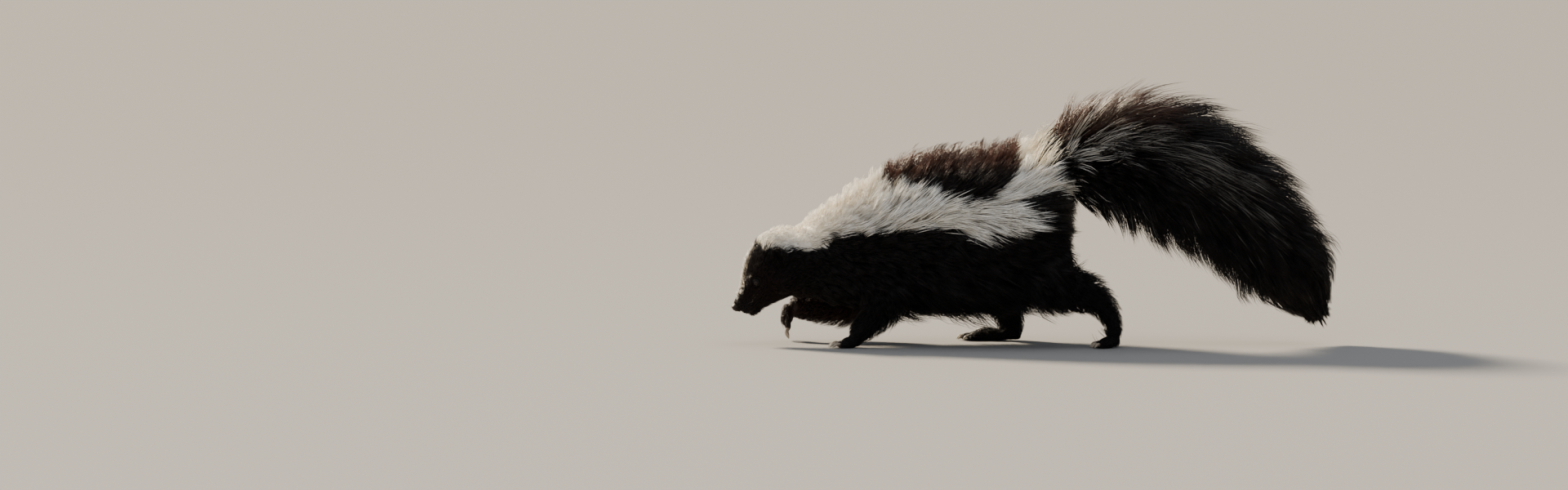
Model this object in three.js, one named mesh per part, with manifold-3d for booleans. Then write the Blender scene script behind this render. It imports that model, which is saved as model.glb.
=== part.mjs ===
// Striped skunk, life size, walking with its head low and its bushy tail arched out behind it.
// Millimetres, +Z up. The animal faces -X, its left side is -Y, and it stands on Z = 0.
import * as THREE from "three";
import { mergeVertices } from "three/addons/utils/BufferGeometryUtils.js";
import Module from "manifold-3d";

const wasm = await Module();
wasm.setup();

// Gap between neighbouring pieces, and how far a cutter reaches past what it cuts
const gap = 0.3;
const reach = 400;

// Driving sizes of the animal
const bodyWaist = 0.47; // the widest level of the trunk, as a share of its depth
const coreLayer = -0.1; // the solid inside the coat reaches almost half way to the tips
const coreShare = 0.42; // the same in the tail, as a share of its hair
const tailCoreEnd = 0.86;
const eyeRadius = 4.2;
const eyeDepth = 0.62; // how far the eye's centre lies below the face, as a share of its radius
const lidThickness = 2.5;
const earHeight = 19;
const earWidth = 19;
const earRim = 1.7;
const toes = 5;
const foreClaw = 10;
const hindClaw = 6.5;

// Trunk from inside the head to the rump: outline at the hair tips, and the depth of the coat
const trunkStations = [
  { x: -272, top: 121, bottom: 62, side: 25, coat: 5 },
  { x: -251, top: 128.5, bottom: 50, side: 35, coat: 6 },
  { x: -228, top: 138, bottom: 47, side: 39.5, coat: 9 },
  { x: -205, top: 153, bottom: 41, side: 46, coat: 13 },
  { x: -175, top: 173, bottom: 36, side: 54, coat: 17 },
  { x: -145, top: 190, bottom: 35, side: 60, coat: 20 },
  { x: -112, top: 206, bottom: 36, side: 65, coat: 23 },
  { x: -77, top: 210, bottom: 38, side: 69, coat: 25 },
  { x: -42, top: 213, bottom: 40, side: 73, coat: 26 },
  { x: -10, top: 214, bottom: 46, side: 74, coat: 26 },
  { x: 16, top: 206, bottom: 58, side: 66, coat: 23 },
  { x: 34, top: 185, bottom: 80, side: 50, coat: 17 },
  { x: 43, top: 162, bottom: 102, side: 32, coat: 12 },
  { x: 48, top: 148, bottom: 116, side: 17, coat: 6 },
];

// Tail from the rump to the last hairs: middle line, radius at the tips, and the flesh inside
const tailStations = [
  { x: 26, z: 182, plume: 52, flesh: 14 },
  { x: 66, z: 195, plume: 68, flesh: 13 },
  { x: 113, z: 194, plume: 79, flesh: 11 },
  { x: 159, z: 176, plume: 81, flesh: 9.5 },
  { x: 203, z: 147, plume: 74, flesh: 8 },
  { x: 242, z: 110, plume: 63, flesh: 7 },
  { x: 274, z: 72, plume: 46, flesh: 6 },
  { x: 297, z: 30, plume: 10, flesh: 4 },
];
const tailFlatness = 0.84; // the plume is narrower across than it is deep

// Locks of the coat: rows and numbers, the part of the length they start in, and how far they reach
const trunkRows = 7;
const trunkLocksAround = 7;
const trunkLockSpan = [0.13, 0.8];
const trunkLockLength = 0.22;
const tuftLift = 1.5; // the tufts over the tail stand up past the other hair tips
const flankLift = 0.95; // and the locks of the flanks stand out to the sides
const tailTiers = 10;
const tailLocksAround = 8;
const tailLockSpan = [0.03, 0.82];
const tailLockLength = 0.25;

const fringeLocks = 5;
const fringeSpan = [0.18, 0.62];
const fringeLength = 0.24;
const fringeDepth = 9;

// Head, measured back from the nose along its own axis
const headStations = [
  { back: -1, top: 2.5, bottom: -4.5, side: 4.5, middle: -1 },
  { back: 4, top: 5, bottom: -9, side: 8, middle: -3 },
  { back: 12, top: 7.5, bottom: -17, side: 11, middle: -6 },
  { back: 22, top: 11, bottom: -24, side: 14.5, middle: -7 },
  { back: 34, top: 18, bottom: -29.5, side: 20.5, middle: -6 },
  { back: 47, top: 24.5, bottom: -36, side: 26.5, middle: -6 },
  { back: 61, top: 28, bottom: -41, side: 30.5, middle: -6 },
  { back: 75, top: 28.5, bottom: -43, side: 32, middle: -7 },
  { back: 87, top: 23, bottom: -36, side: 29, middle: -7 },
  { back: 94, top: 9, bottom: -20, side: 15, middle: -7 },
];
const headAt = new THREE.Vector3(-310, -9, 38); // the nose tip
const headPitch = 50; // degrees that the muzzle points below the horizon
const headYaw = 7; // degrees that the face turns to its left
const eyeAt = { back: 35, up: 2.5 };
const earAt = { back: 68, up: -1 };

// Legs: x, y, z of each joint, then half the depth fore and aft and half the width
const legJoints = {
  foreleg_left: [
    [-168, -30, 98, 30, 20],
    [-156, -39, 62, 25, 17],
    [-155, -42, 44, 20, 15],
    [-170, -41, 26, 15, 12.5],
    [-182, -40, 14, 11.5, 11],
  ],
  foreleg_right: [
    [-170, 30, 94, 30, 20],
    [-180, 38, 60, 25, 18],
    [-190, 41, 38, 20, 16],
    [-222, 40, 36, 17, 14],
    [-246, 38, 37, 12.5, 12],
  ],
  hindleg_left: [
    [2, -39, 108, 38, 22],
    [20, -43, 70, 30, 21],
    [52, -44, 57, 21, 17],
    [69, -43, 46, 15, 13],
    [81, -42, 28, 10.5, 10],
    [84, -42, 15, 9, 9],
  ],
  hindleg_right: [
    [-2, 40, 108, 38, 22],
    [-34, 44, 70, 29, 21],
    [-32, 44, 48, 22, 18],
    [-24, 43, 28, 16, 13],
    [-20, 42, 10, 12.5, 11],
  ],
};

const degrees = Math.PI / 180;
const point = (x, y, z) => new THREE.Vector3(x, y, z);

// Smooth curve through equally spaced values, at a share t of its length
function through(values, t) {
  const along = THREE.MathUtils.clamp(t, 0, 1) * (values.length - 1);
  const i = Math.min(Math.floor(along), values.length - 2);
  const f = along - i;
  const [a, b, c, d] = [i - 1, i, i + 1, i + 2].map(
    (n) => values[THREE.MathUtils.clamp(n, 0, values.length - 1)],
  );
  const bend = f * f * (2 * a - 5 * b + 4 * c - d) + f ** 3 * (3 * b - a - 3 * c + d);
  return 0.5 * (2 * b + f * (c - a) + bend);
}

function stationAt(stations, t) {
  const sizes = {};
  for (const key of Object.keys(stations[0])) {
    sizes[key] = through(stations.map((station) => station[key]), t);
  }
  return sizes;
}

// A cosine or sine that fills out an oval section, squarer with a larger fullness
const rounded = (value, fullness) => Math.sign(value) * Math.abs(value) ** (2 / fullness);
const trunkFullness = 2.15;
const headFullness = 2.1;

// Closed surface over rings of points, each end closed on the middle of its ring
function loft(rings) {
  const around = rings[0].length;
  const middle = (ring) => ring.reduce((sum, p) => sum.add(p), point(0, 0, 0)).divideScalar(around);
  const points = [...rings.flat(), middle(rings[0]), middle(rings.at(-1))];
  const [first, last] = [points.length - 2, points.length - 1];
  const faces = [];
  for (let i = 0; i < around; i++) {
    const next = (i + 1) % around;
    faces.push(first, next, i);
    faces.push(last, (rings.length - 1) * around + i, (rings.length - 1) * around + next);
    for (let row = 0; row < rings.length - 1; row++) {
      const here = row * around;
      const there = here + around;
      faces.push(here + i, here + next, there + i);
      faces.push(here + next, there + next, there + i);
    }
  }
  const geometry = new THREE.BufferGeometry().setFromPoints(points);
  geometry.setIndex(faces);
  return geometry;
}

// Closed surface over rings of points that ends in one point
function pointedLoft(rings, tip) {
  const around = rings[0].length;
  const last = (rings.length - 1) * around;
  const faces = [];
  for (let i = 0; i < around; i++) {
    const next = (i + 1) % around;
    if (i > 1) faces.push(0, i, i - 1);
    faces.push(last + i, last + next, rings.length * around);
    for (let here = 0; here < last; here += around) {
      faces.push(here + i, here + next, here + around + i);
      faces.push(here + next, here + around + next, here + around + i);
    }
  }
  const geometry = new THREE.BufferGeometry().setFromPoints([...rings.flat(), tip]);
  geometry.setIndex(faces);
  return geometry;
}

// Closed three.js geometry to a solid, with its faces turned out
function solid(geometry, matrix = new THREE.Matrix4()) {
  const bare = geometry.clone().applyMatrix4(matrix);
  bare.deleteAttribute("normal");
  bare.deleteAttribute("uv");
  const merged = mergeVertices(bare, 1e-4);
  const vertProperties = new Float32Array(merged.attributes.position.array);
  let made = new wasm.Manifold(
    new wasm.Mesh({ numProp: 3, vertProperties, triVerts: new Uint32Array(merged.index.array) }),
  );
  if (made.volume() < 0) {
    const triVerts = new Uint32Array(merged.index.array).reverse();
    made = new wasm.Manifold(new wasm.Mesh({ numProp: 3, vertProperties, triVerts }));
  }
  return made;
}

const joinAll = (pieces) => wasm.Manifold.union(pieces);

// The largest closed surface of a solid, without loose scraps or sealed hollows
function largest(made) {
  return made.decompose().sort((a, b) => b.volume() - a.volume())[0];
}

// Half space on the far side of a plane, as a large box turned to the plane's normal
function halfSpace(at, normal) {
  const turn = new THREE.Quaternion().setFromUnitVectors(point(0, 0, 1), normal.clone().normalize());
  const box = new THREE.BoxGeometry(2 * reach, 2 * reach, reach).translate(0, 0, reach / 2);
  return solid(box, new THREE.Matrix4().compose(at, turn, point(1, 1, 1)));
}

const underFloor = halfSpace(point(0, 0, 0), point(0, 0, -1));

// Repeatable draws between -1 and 1, for the natural spread of the hair
const drawStep = { factor: 1664525, shift: 1013904223, range: 2 ** 32 };

function draws(seed) {
  let state = seed;
  return () => {
    state = (state * drawStep.factor + drawStep.shift) % drawStep.range;
    return (2 * state) / drawStep.range - 1;
  };
}

// Flat tapered lock of hair along a path of points, each with the direction across the lock there
const lockWidths = [0.75, 1, 0.6];
const lockDepths = [1, 1, 0.6];

function blade(path, across, width, depth, grow = 0) {
  const rings = path.slice(0, -1).map((p, i) => {
    const ahead = path[i + 1].clone().sub(path[Math.max(i - 1, 0)]).normalize();
    const out = new THREE.Vector3().crossVectors(ahead, across[i]).normalize();
    const wide = new THREE.Vector3().crossVectors(out, ahead);
    const w = (width * lockWidths[i]) / 2 + grow;
    const d = (depth * lockDepths[i]) / 2 + grow;
    return [
      p.clone().addScaledVector(wide, w),
      p.clone().addScaledVector(out, d),
      p.clone().addScaledVector(wide, -w),
      p.clone().addScaledVector(out, -d),
    ];
  });
  const last = path.at(-1).clone();
  last.addScaledVector(last.clone().sub(path.at(-2)).normalize(), 3 * grow);
  return solid(pointedLoft(rings, last));
}

// Lock that lies along a surface given as a function of length, angle and layer
const lockShares = [0, 0.42, 0.76, 1];
const lockLayers = [-0.75, 0.3, 0.82, 1];

function surfaceLock(surface, { t, angle, length, drift, width, depth, lift = 0 }, grow = 0) {
  const place = (share) => [Math.min(t + length * share, 1), angle + drift * share ** 1.5];
  const path = lockShares.map((share, i) =>
    surface(...place(share), lockLayers[i] + lift * share ** 2),
  );
  const across = lockShares.map((share) => {
    const [at, turned] = place(share);
    return surface(at, turned + 0.05, 1).sub(surface(at, turned - 0.05, 1)).normalize();
  });
  return blade(path, across, width, depth, grow);
}

// Trunk

// Point of the trunk: t along it, angle round it, and layer 1 at the hair tips, -1 at the skin
function trunkPoint(t, angle, layer) {
  const s = stationAt(trunkStations, t);
  const inset = (s.coat * (1 - layer)) / 2;
  const middle = s.bottom + (s.top - s.bottom) * bodyWaist;
  const [c, h] = [Math.cos(angle), Math.sin(angle)].map((value) => rounded(value, trunkFullness));
  const up = s.top - middle - inset;
  const down = middle - s.bottom - 0.6 * inset;
  return point(s.x, c * (s.side - 0.8 * inset), middle + h * (h > 0 ? up : down));
}

function trunkSolid(grow = 0) {
  const [along, around] = [14, 16];
  const rings = [];
  for (let row = 0; row <= along; row++) {
    const forward = (2 * row) / along - 1;
    const ring = [];
    for (let i = 0; i < around; i++) {
      const angle = (2 * Math.PI * i) / around;
      const out = point(forward, Math.cos(angle), Math.sin(angle)).multiplyScalar(grow);
      ring.push(trunkPoint(row / along, angle, coreLayer).add(out));
    }
    rings.push(ring);
  }
  return solid(loft(rings));
}

// Long hair of the neck and body: it lies back and down, and stands up in tufts over the tail
function trunkLocks() {
  const draw = draws(7);
  const locks = [];
  for (let row = 0; row < trunkRows; row++) {
    const t = THREE.MathUtils.lerp(...trunkLockSpan, row / (trunkRows - 1));
    const around = 2 * Math.round((trunkPoint(t, 0, 1).y * trunkLocksAround) / 140 + 2);
    for (let i = 0; i < around; i++) {
      const angle = (2 * Math.PI * (i + (row % 2) / 2)) / around + 0.06 * draw();
      const tuft = row === trunkRows - 1 && Math.sin(angle) > 0.8;
      const flank = flankLift * Math.cos(angle) ** 2;
      locks.push({
        t: t + 0.012 * draw(),
        angle,
        length: (tuft ? 0.25 : 1) * trunkLockLength * (1 + 0.16 * draw()),
        drift: -0.3 * Math.cos(angle) + 0.1 * draw(),
        width: ((2 * Math.PI * trunkPoint(t, 0, 0).y) / around) * (1.02 + 0.12 * draw()),
        depth: 5.5 + draw(),
        lift: (tuft ? tuftLift : flank) + 0.12 * draw(),
      });
    }
  }
  return locks;
}

// Tail

const tailLine = (t) => {
  const s = stationAt(tailStations, t);
  return point(s.x, 0, s.z);
};

// Point of the tail: layer -1 on the flesh, 0 in the hair, 1 at its tips
function tailPoint(t, angle, layer) {
  const s = stationAt(tailStations, t);
  const ahead = tailLine(t + 0.01).sub(tailLine(t - 0.01)).normalize();
  const up = point(-ahead.z, 0, ahead.x);
  const hair = Math.max(s.plume - s.flesh, 0);
  const core = s.flesh + coreShare * hair;
  const radius = layer > 0 ? core + (1 - coreShare) * hair * layer : core + coreShare * hair * layer;
  const out = point(s.x, radius * tailFlatness * Math.cos(angle), s.z);
  return out.addScaledVector(up, radius * Math.sin(angle));
}

function tailSolid() {
  const [along, around] = [9, 10];
  const rings = [];
  for (let row = 0; row <= along; row++) {
    const share = row / along;
    const layer = share < 0.8 ? 0 : -0.9 * ((share - 0.8) / 0.2) ** 2;
    const ring = [];
    for (let i = 0; i < around; i++) {
      ring.push(tailPoint(tailCoreEnd * share, (2 * Math.PI * i) / around, layer));
    }
    rings.push(ring);
  }
  return solid(loft(rings));
}

// The first tiers stand up round the root of the tail, and the last are short
const tierLength = (share) => Math.min(0.46 + 2.2 * share, 1) * (1 - 0.3 * share);

// Plume: hair that leaves the tail at a slant, sweeps back and ends in one soft outline
function tailLocks() {
  const draw = draws(23);
  const locks = [];
  for (let tier = 0; tier < tailTiers; tier++) {
    const share = tier / (tailTiers - 1);
    const t = THREE.MathUtils.lerp(...tailLockSpan, share);
    const around = Math.round(tailLocksAround * (1 - 0.35 * share ** 2));
    for (let i = 0; i < around; i++) {
      const radius = tailPoint(t, 0, 0.4).y;
      locks.push({
        t: t + 0.01 * draw(),
        angle: (2 * Math.PI * (i + (tier % 2) / 2)) / around + 0.07 * draw(),
        length: tailLockLength * tierLength(share) * (1 + 0.15 * draw()),
        drift: 0.14 * draw(),
        width: ((2 * Math.PI * radius) / around) * (1.05 + 0.12 * draw()),
        depth: 6 + draw(),
        lift: 0.06 * draw(),
      });
    }
  }
  return locks;
}

// Limbs

const limbSmoothing = 0.1; // share of a limb's length over which its direction is taken

// Middle, directions and sizes of a limb at a share t of its length
function limbAt(joints, t) {
  const sizes = (share) => joints[0].map((_, i) => through(joints.map((joint) => joint[i]), share));
  const [x, y, z, depth, width] = sizes(t);
  const place = (share) => point(...sizes(share).slice(0, 3));
  const ahead = place(t + limbSmoothing).sub(place(t - limbSmoothing)).normalize();
  const wide = point(0, 1, 0).addScaledVector(ahead, -ahead.y).normalize();
  const deep = new THREE.Vector3().crossVectors(wide, ahead);
  return { centre: point(x, y, z), ahead, wide, deep, depth, width };
}

// Point of a limb: layer 0 on its short hair, 1 at the tips of its fringe
function limbPoint(joints, t, angle, layer) {
  const { centre, wide, deep, depth, width } = limbAt(joints, t);
  const fringe = layer * fringeDepth * (1 - 0.5 * t);
  return centre
    .addScaledVector(deep, Math.cos(angle) * (depth + fringe))
    .addScaledVector(wide, Math.sin(angle) * (width + fringe));
}

function limb(joints, grow = 0) {
  const [along, around] = [9, 10];
  const rings = [];
  for (let row = 0; row <= along; row++) {
    const { centre, wide, deep, depth, width } = limbAt(joints, row / along);
    const ring = [];
    for (let i = 0; i < around; i++) {
      const angle = (2 * Math.PI * i) / around;
      const p = centre.clone().addScaledVector(deep, Math.cos(angle) * (depth + grow));
      ring.push(p.addScaledVector(wide, Math.sin(angle) * (width + grow)));
    }
    rings.push(ring);
  }
  const { centre, ahead } = limbAt(joints, 1);
  const bulge = joints.at(-1).at(-1);
  const end = (ring, share) =>
    ring.map((p) => centre.clone().lerp(p, 1 - share ** 2).addScaledVector(ahead, share * bulge));
  rings.push(end(rings.at(-1), 0.6));
  return solid(loft(rings));
}

// Longer hair behind the elbow or the thigh
function limbFringe(joints, seed, grow = 0) {
  const draw = draws(seed);
  const locks = [];
  for (let i = 0; i < fringeLocks; i++) {
    const lock = {
      t: THREE.MathUtils.lerp(...fringeSpan, i / (fringeLocks - 1)),
      angle: Math.PI + (i % 2 ? 0.5 : -0.5) + 0.15 * draw(),
      length: fringeLength * (1 + 0.15 * draw()),
      drift: 0.2 * draw(),
      width: 15 + 2 * draw(),
      depth: 5,
    };
    const surface = (t, angle, layer) => limbPoint(joints, t, angle, layer);
    locks.push(surfaceLock(surface, lock, grow));
  }
  return locks;
}

// Toe or claw: a tapered tube through points given as x, y, z, radius, or to a point for radius 0
function taperedTube(stops, around, flat = 1) {
  const line = new THREE.CatmullRomCurve3(stops.map(([x, y, z]) => point(x, y, z)));
  const rings = stops.map((stop, row) => {
    const ahead = line.getTangent(row / (stops.length - 1));
    const wide = new THREE.Vector3().crossVectors(ahead, point(0, 0, 1)).normalize();
    const deep = new THREE.Vector3().crossVectors(wide, ahead);
    return Array.from({ length: around }, (_, i) => {
      const angle = (2 * Math.PI * i) / around;
      return point(stop[0], stop[1], stop[2])
        .addScaledVector(wide, Math.cos(angle) * stop[3])
        .addScaledVector(deep, Math.sin(angle) * stop[3] * flat);
    });
  });
  if (stops.at(-1)[3] > 0) return solid(loft(rings));
  return solid(pointedLoft(rings.slice(0, -1), rings.at(-1)[0]));
}

// Paw in its own space: the wrist at the origin, toes towards -X, sole at z = -height
function paw({ height, length, width, heel, claw, toeDroop }) {
  const sole = -height;
  const palm = taperedTube(
    [
      [heel, 0, sole + width * 0.34, width * 0.26],
      [heel - 4, 0, sole + width * 0.36, width * 0.42],
      [-length * 0.4, 0, sole + width * 0.28, width * 0.5],
      [-length * 0.76, 0, sole + width * 0.2, width * 0.46],
      [-length * 0.95, 0, sole + width * 0.16, width * 0.24],
    ],
    8,
    0.66,
  );
  const pieces = [palm];
  for (let toe = 0; toe < toes; toe++) {
    const spread = (toe - 2) / 2;
    const forward = length * (1 - 0.17 * spread * spread);
    const y = spread * width * 0.4;
    const fan = spread * width * 0.09;
    pieces.push(
      taperedTube(
        [
          [-forward + 8, y, sole + 4.5, 2.4],
          [-forward + 1, y + fan, sole + 4.8 - toeDroop * 0.3, 3.3],
          [-forward - 4.5, y + fan * 1.5, sole + 3.2 - toeDroop * 0.6, 2.8],
          [-forward - 6, y + fan * 1.7, sole + 3.2 - toeDroop * 0.7, 1.4],
          [-forward - 5 - claw, y + fan * 2, sole + 0.8 - toeDroop, 0],
        ],
        5,
      ),
    );
  }
  return joinAll(pieces);
}

const pawSizes = {
  forepaw_left: { height: 12, length: 14, width: 20, heel: 5, claw: foreClaw, toeDroop: 0 },
  forepaw_right: { height: 10, length: 15, width: 20, heel: 5, claw: foreClaw, toeDroop: 3 },
  hindpaw_left: { height: 12, length: 13, width: 20, heel: 6, claw: hindClaw, toeDroop: 0 },
  hindpaw_right: { height: 12, length: 46, width: 21, heel: 10, claw: hindClaw, toeDroop: 0 },
};

// Where each paw joins its leg, the way it points there, and its bend and turn out in degrees
const pawPlaces = {
  forepaw_left: { at: [-184, -40, 12], cut: [-1, 0, -1], bend: 0, out: 6 },
  forepaw_right: { at: [-258, 38, 34], cut: [-1, 0, 0], bend: 76, out: 0 },
  hindpaw_left: { at: [83, -42, 12], cut: [0, 0, -1], bend: 0, out: 8 },
  hindpaw_right: { at: [-21, 42, 12], cut: [0, 0, -1], bend: 0, out: -8 },
};

function placedPaw(name) {
  const { at, bend, out } = pawPlaces[name];
  const turn = new THREE.Quaternion().setFromEuler(
    new THREE.Euler(0, -bend * degrees, out * degrees, "ZYX"),
  );
  const matrix = new THREE.Matrix4().compose(point(...at), turn, point(1, 1, 1));
  return paw(pawSizes[name]).transform(matrix.elements);
}

// Head, in its own space: x back from the nose, y to the animal's right, z up

const headSpace = new THREE.Matrix4()
  .makeTranslation(headAt)
  .multiply(new THREE.Matrix4().makeRotationZ(headYaw * degrees))
  .multiply(new THREE.Matrix4().makeRotationY(-headPitch * degrees));
const toHead = headSpace.clone().invert();

// Point of the head at a share t of its length and an angle round its section
function headPoint(t, angle, inset = 0) {
  const s = stationAt(headStations, t);
  const [c, h] = [Math.cos(angle), Math.sin(angle)].map((value) => rounded(value, headFullness));
  const up = s.top - s.middle - inset;
  const down = s.middle - s.bottom - inset;
  return point(s.back, c * (s.side - inset), s.middle + h * (h > 0 ? up : down));
}

function headSolid(inset = 0) {
  const [along, around] = [17, 18];
  const rings = [];
  for (let row = 0; row <= along; row++) {
    const ring = [];
    for (let i = 0; i < around; i++) {
      ring.push(headPoint(row / along, (2 * Math.PI * i) / around, inset));
    }
    rings.push(ring);
  }
  return solid(loft(rings));
}

// Share of the head's length and the section angle that give a place on its side
function headPlace({ back, up }) {
  let t = 0;
  while (t < 1 && stationAt(headStations, t).back < back) t += 0.002;
  const s = stationAt(headStations, t);
  const span = up > s.middle ? s.top - s.middle : s.middle - s.bottom;
  const height = THREE.MathUtils.clamp((up - s.middle) / span, -0.96, 0.96);
  return { t, angle: Math.asin(rounded(height, 4 / headFullness)) };
}

function headSurface(place, side) {
  const { t, angle } = headPlace(place);
  const p = headPoint(t, angle);
  p.y *= side;
  return p;
}

const ball = (radius, across = 12, tall = 8) => new THREE.SphereGeometry(radius, across, tall);

function eyeCentre(side) {
  const p = headSurface(eyeAt, side);
  return p.add(point(0.4, -side * eyeRadius * eyeDepth, 0));
}

function eyeSolid(side, grow = 0) {
  const c = eyeCentre(side);
  return solid(ball(eyeRadius + grow).translate(c.x, c.y, c.z));
}

// Upper and lower lids as one almond ring that stands a little proud of the face
function lids(side) {
  const ring = new THREE.TorusGeometry(eyeRadius * 1.02, lidThickness / 2, 5, 12);
  const out = point(-0.42, side * 0.86, 0.2).normalize();
  const turn = new THREE.Quaternion().setFromUnitVectors(point(0, 0, 1), out);
  const at = eyeCentre(side).addScaledVector(out, eyeRadius * 0.36);
  return solid(ring, new THREE.Matrix4().compose(at, turn, point(1.12, 0.9, 1)));
}

// Nose pad with two nostrils
function noseSolid(grow = 0) {
  const pad = solid(
    ball(1, 12, 8).scale(5.2 + grow, 5.4 + grow, 4.6 + grow).translate(1.2, 0, 0.4),
  );
  if (grow > 0) return pad;
  const nostrils = [-1, 1].map((side) =>
    solid(ball(1, 6, 4).scale(2.6, 1.15, 1.5).translate(-3.2, side * 2.5, 0.2)),
  );
  const groove = solid(new THREE.BoxGeometry(3, 0.7, 5).translate(-4.2, 0, -2.8));
  return pad.subtract(joinAll([...nostrils, groove]));
}

// Line of the mouth, from under the nose back to the corner, cut in all round the muzzle
const mouthDepth = 2.4;
const mouthLine = [
  { back: 1.5, up: -6.2 },
  { back: 8, up: -9.4 },
  { back: 16, up: -12 },
  { back: 24, up: -12.6 },
];

function mouthGroove() {
  const outline = new THREE.Shape([
    ...mouthLine.map(({ back, up }) => new THREE.Vector2(back, up + 0.6)),
    ...mouthLine.toReversed().map(({ back, up }) => new THREE.Vector2(back, up - 0.6)),
  ]);
  const slab = new THREE.ExtrudeGeometry(outline, { depth: 2 * reach, bevelEnabled: false });
  slab.translate(0, 0, -reach).rotateX(Math.PI / 2);
  return solid(slab).subtract(headSolid(mouthDepth));
}

// Lip along one side of the mouth line, above or below it
function lip(side, above) {
  const stops = mouthLine.map((place, i) => {
    const p = headSurface({ back: place.back + 0.6, up: place.up + above * 1.5 }, side);
    return [p.x, p.y - side * 0.6, p.z, i === 0 || i === mouthLine.length - 1 ? 0.7 : 1.35];
  });
  return taperedTube(stops, 6);
}

// Round ear with its cup open forwards and out
function earSolid(side) {
  const root = headSurface(earAt, side);
  const shell = solid(ball(1, 12, 8).scale(4.6, earWidth / 2, earHeight / 2));
  const cup = solid(
    ball(1, 10, 6).scale(4, earWidth / 2 - earRim, earHeight / 2 - earRim).translate(-2.7, 0, 1.1),
  );
  const turn = new THREE.Quaternion().setFromEuler(
    new THREE.Euler(side * -38 * degrees, 12 * degrees, side * -34 * degrees, "ZYX"),
  );
  const at = root.add(point(3, side * 3.5, 5));
  const matrix = new THREE.Matrix4().compose(at, turn, point(1, 1, 1));
  return shell.subtract(cup).transform(matrix.elements);
}

// Cuts between neighbouring nodes

const neckPlane = { at: point(-243, 0, 90), normal: point(1, 0, 0.22) };
const chestPlane = { at: point(-196, 0, 100), normal: point(1, 0, 0.12) };
const halfGap = gap / 2;

const aheadOf = ({ at, normal }) =>
  halfSpace(at.clone().addScaledVector(normal.clone().normalize(), -halfGap), normal);
const behind = ({ at, normal }) =>
  halfSpace(at.clone().addScaledVector(normal.clone().normalize(), halfGap), normal.clone().negate());

// A leg clear of the trunk, and its paw beyond the plane that parts them
function leg(name, seed) {
  const joints = legJoints[name];
  const pawName = name.replace("leg", "paw");
  const wrist = { at: point(...joints.at(-1).slice(0, 3)), normal: point(...pawPlaces[pawName].cut) };
  const flesh = joinAll([limb(joints), ...limbFringe(joints, seed)]);
  return {
    flesh: flesh.subtract(coreGrown).subtract(aheadOf(wrist)).subtract(underFloor),
    paw: placedPaw(pawName).add(limb(joints)).subtract(behind(wrist)).subtract(underFloor),
  };
}

const core = trunkSolid();
const coreGrown = trunkSolid(gap);
const headInWorld = headSolid().transform(headSpace.elements);

const plume = (grow) =>
  joinAll([tailSolid(), ...tailLocks().map((lock) => surfaceLock(tailPoint, lock, grow))]);
const tail = largest(plume(0).subtract(coreGrown));
const legs = Object.keys(legJoints).map((name, i) => ({ name, ...leg(name, i + 1) }));
const grownLimb = (joints, i) => [limb(joints, gap), ...limbFringe(joints, i + 1, gap)];
const allLegs = [...legs.map(({ flesh }) => flesh), ...Object.values(legJoints).flatMap(grownLimb)];
const coat = joinAll(trunkLocks().map((lock) => surfaceLock(trunkPoint, lock)))
  .subtract(plume(gap))
  .subtract(joinAll(allLegs))
  .subtract(underFloor);
const trunk = core.add(coat);
const head = largest(
  joinAll([
    headSolid(),
    ...[-1, 1].flatMap((side) => [lids(side), lip(side, 1), lip(side, -1)]),
    core.transform(toHead.elements),
  ])
    .subtract(aheadOf(neckPlane).transform(toHead.elements))
    .subtract(joinAll([eyeSolid(-1, gap), eyeSolid(1, gap), noseSolid(gap), mouthGroove()])),
);
const neck = largest(
  trunk.add(headInWorld).subtract(behind(neckPlane)).subtract(aheadOf(chestPlane)),
);
const torso = largest(trunk.subtract(behind(chestPlane)));
const headGrown = headSolid(-gap).add(coreGrown.transform(toHead.elements));
const ears = [-1, 1].map((side) => largest(earSolid(side).subtract(headGrown)));
const eyes = [-1, 1].map((side) => eyeSolid(side));

// Colours and finishes
const finishes = {
  black_coat: { color: 0x17120f, roughness: 0.7, metalness: 0 },
  white_coat: { color: 0xe9e2d3, roughness: 0.75, metalness: 0 },
  bare_skin: { color: 0x3a2622, roughness: 0.5, metalness: 0 },
  eye: { color: 0x0b0706, roughness: 0.1, metalness: 0 },
};

function mesh(name, made, finish) {
  const { vertProperties, triVerts } = made.getMesh();
  const geometry = new THREE.BufferGeometry();
  geometry.setAttribute("position", new THREE.BufferAttribute(vertProperties, 3));
  geometry.setIndex(new THREE.BufferAttribute(triVerts, 1));
  geometry.computeVertexNormals();
  const piece = new THREE.Mesh(geometry, new THREE.MeshStandardMaterial(finishes[finish]));
  piece.name = name;
  return piece;
}

const skunk = new THREE.Group();
const headGroup = new THREE.Group();
headGroup.applyMatrix4(headSpace);
headGroup.add(
  mesh("head", head, "black_coat"),
  mesh("nose", noseSolid(), "bare_skin"),
  mesh("ear_left", ears[0], "black_coat"),
  mesh("ear_right", ears[1], "black_coat"),
  mesh("eye_left", eyes[0], "eye"),
  mesh("eye_right", eyes[1], "eye"),
);
skunk.add(headGroup, mesh("neck", neck, "white_coat"), mesh("torso", torso, "black_coat"));
for (const { name, flesh, paw: foot } of legs) {
  skunk.add(mesh(name, largest(flesh), "black_coat"));
  skunk.add(mesh(name.replace("leg", "paw"), largest(foot), "bare_skin"));
}
skunk.add(mesh("tail", tail, "black_coat"));

export default skunk;
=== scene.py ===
# Striped skunk, life size, walking with its head low and its tail arched out behind it.
# Metres, +Z up. The animal faces -X, its left side is -Y, and it stands on Z = 0.
import math
import bmesh
import bpy
import numpy as np
from mathutils import Euler, Matrix, Vector, kdtree


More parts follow.
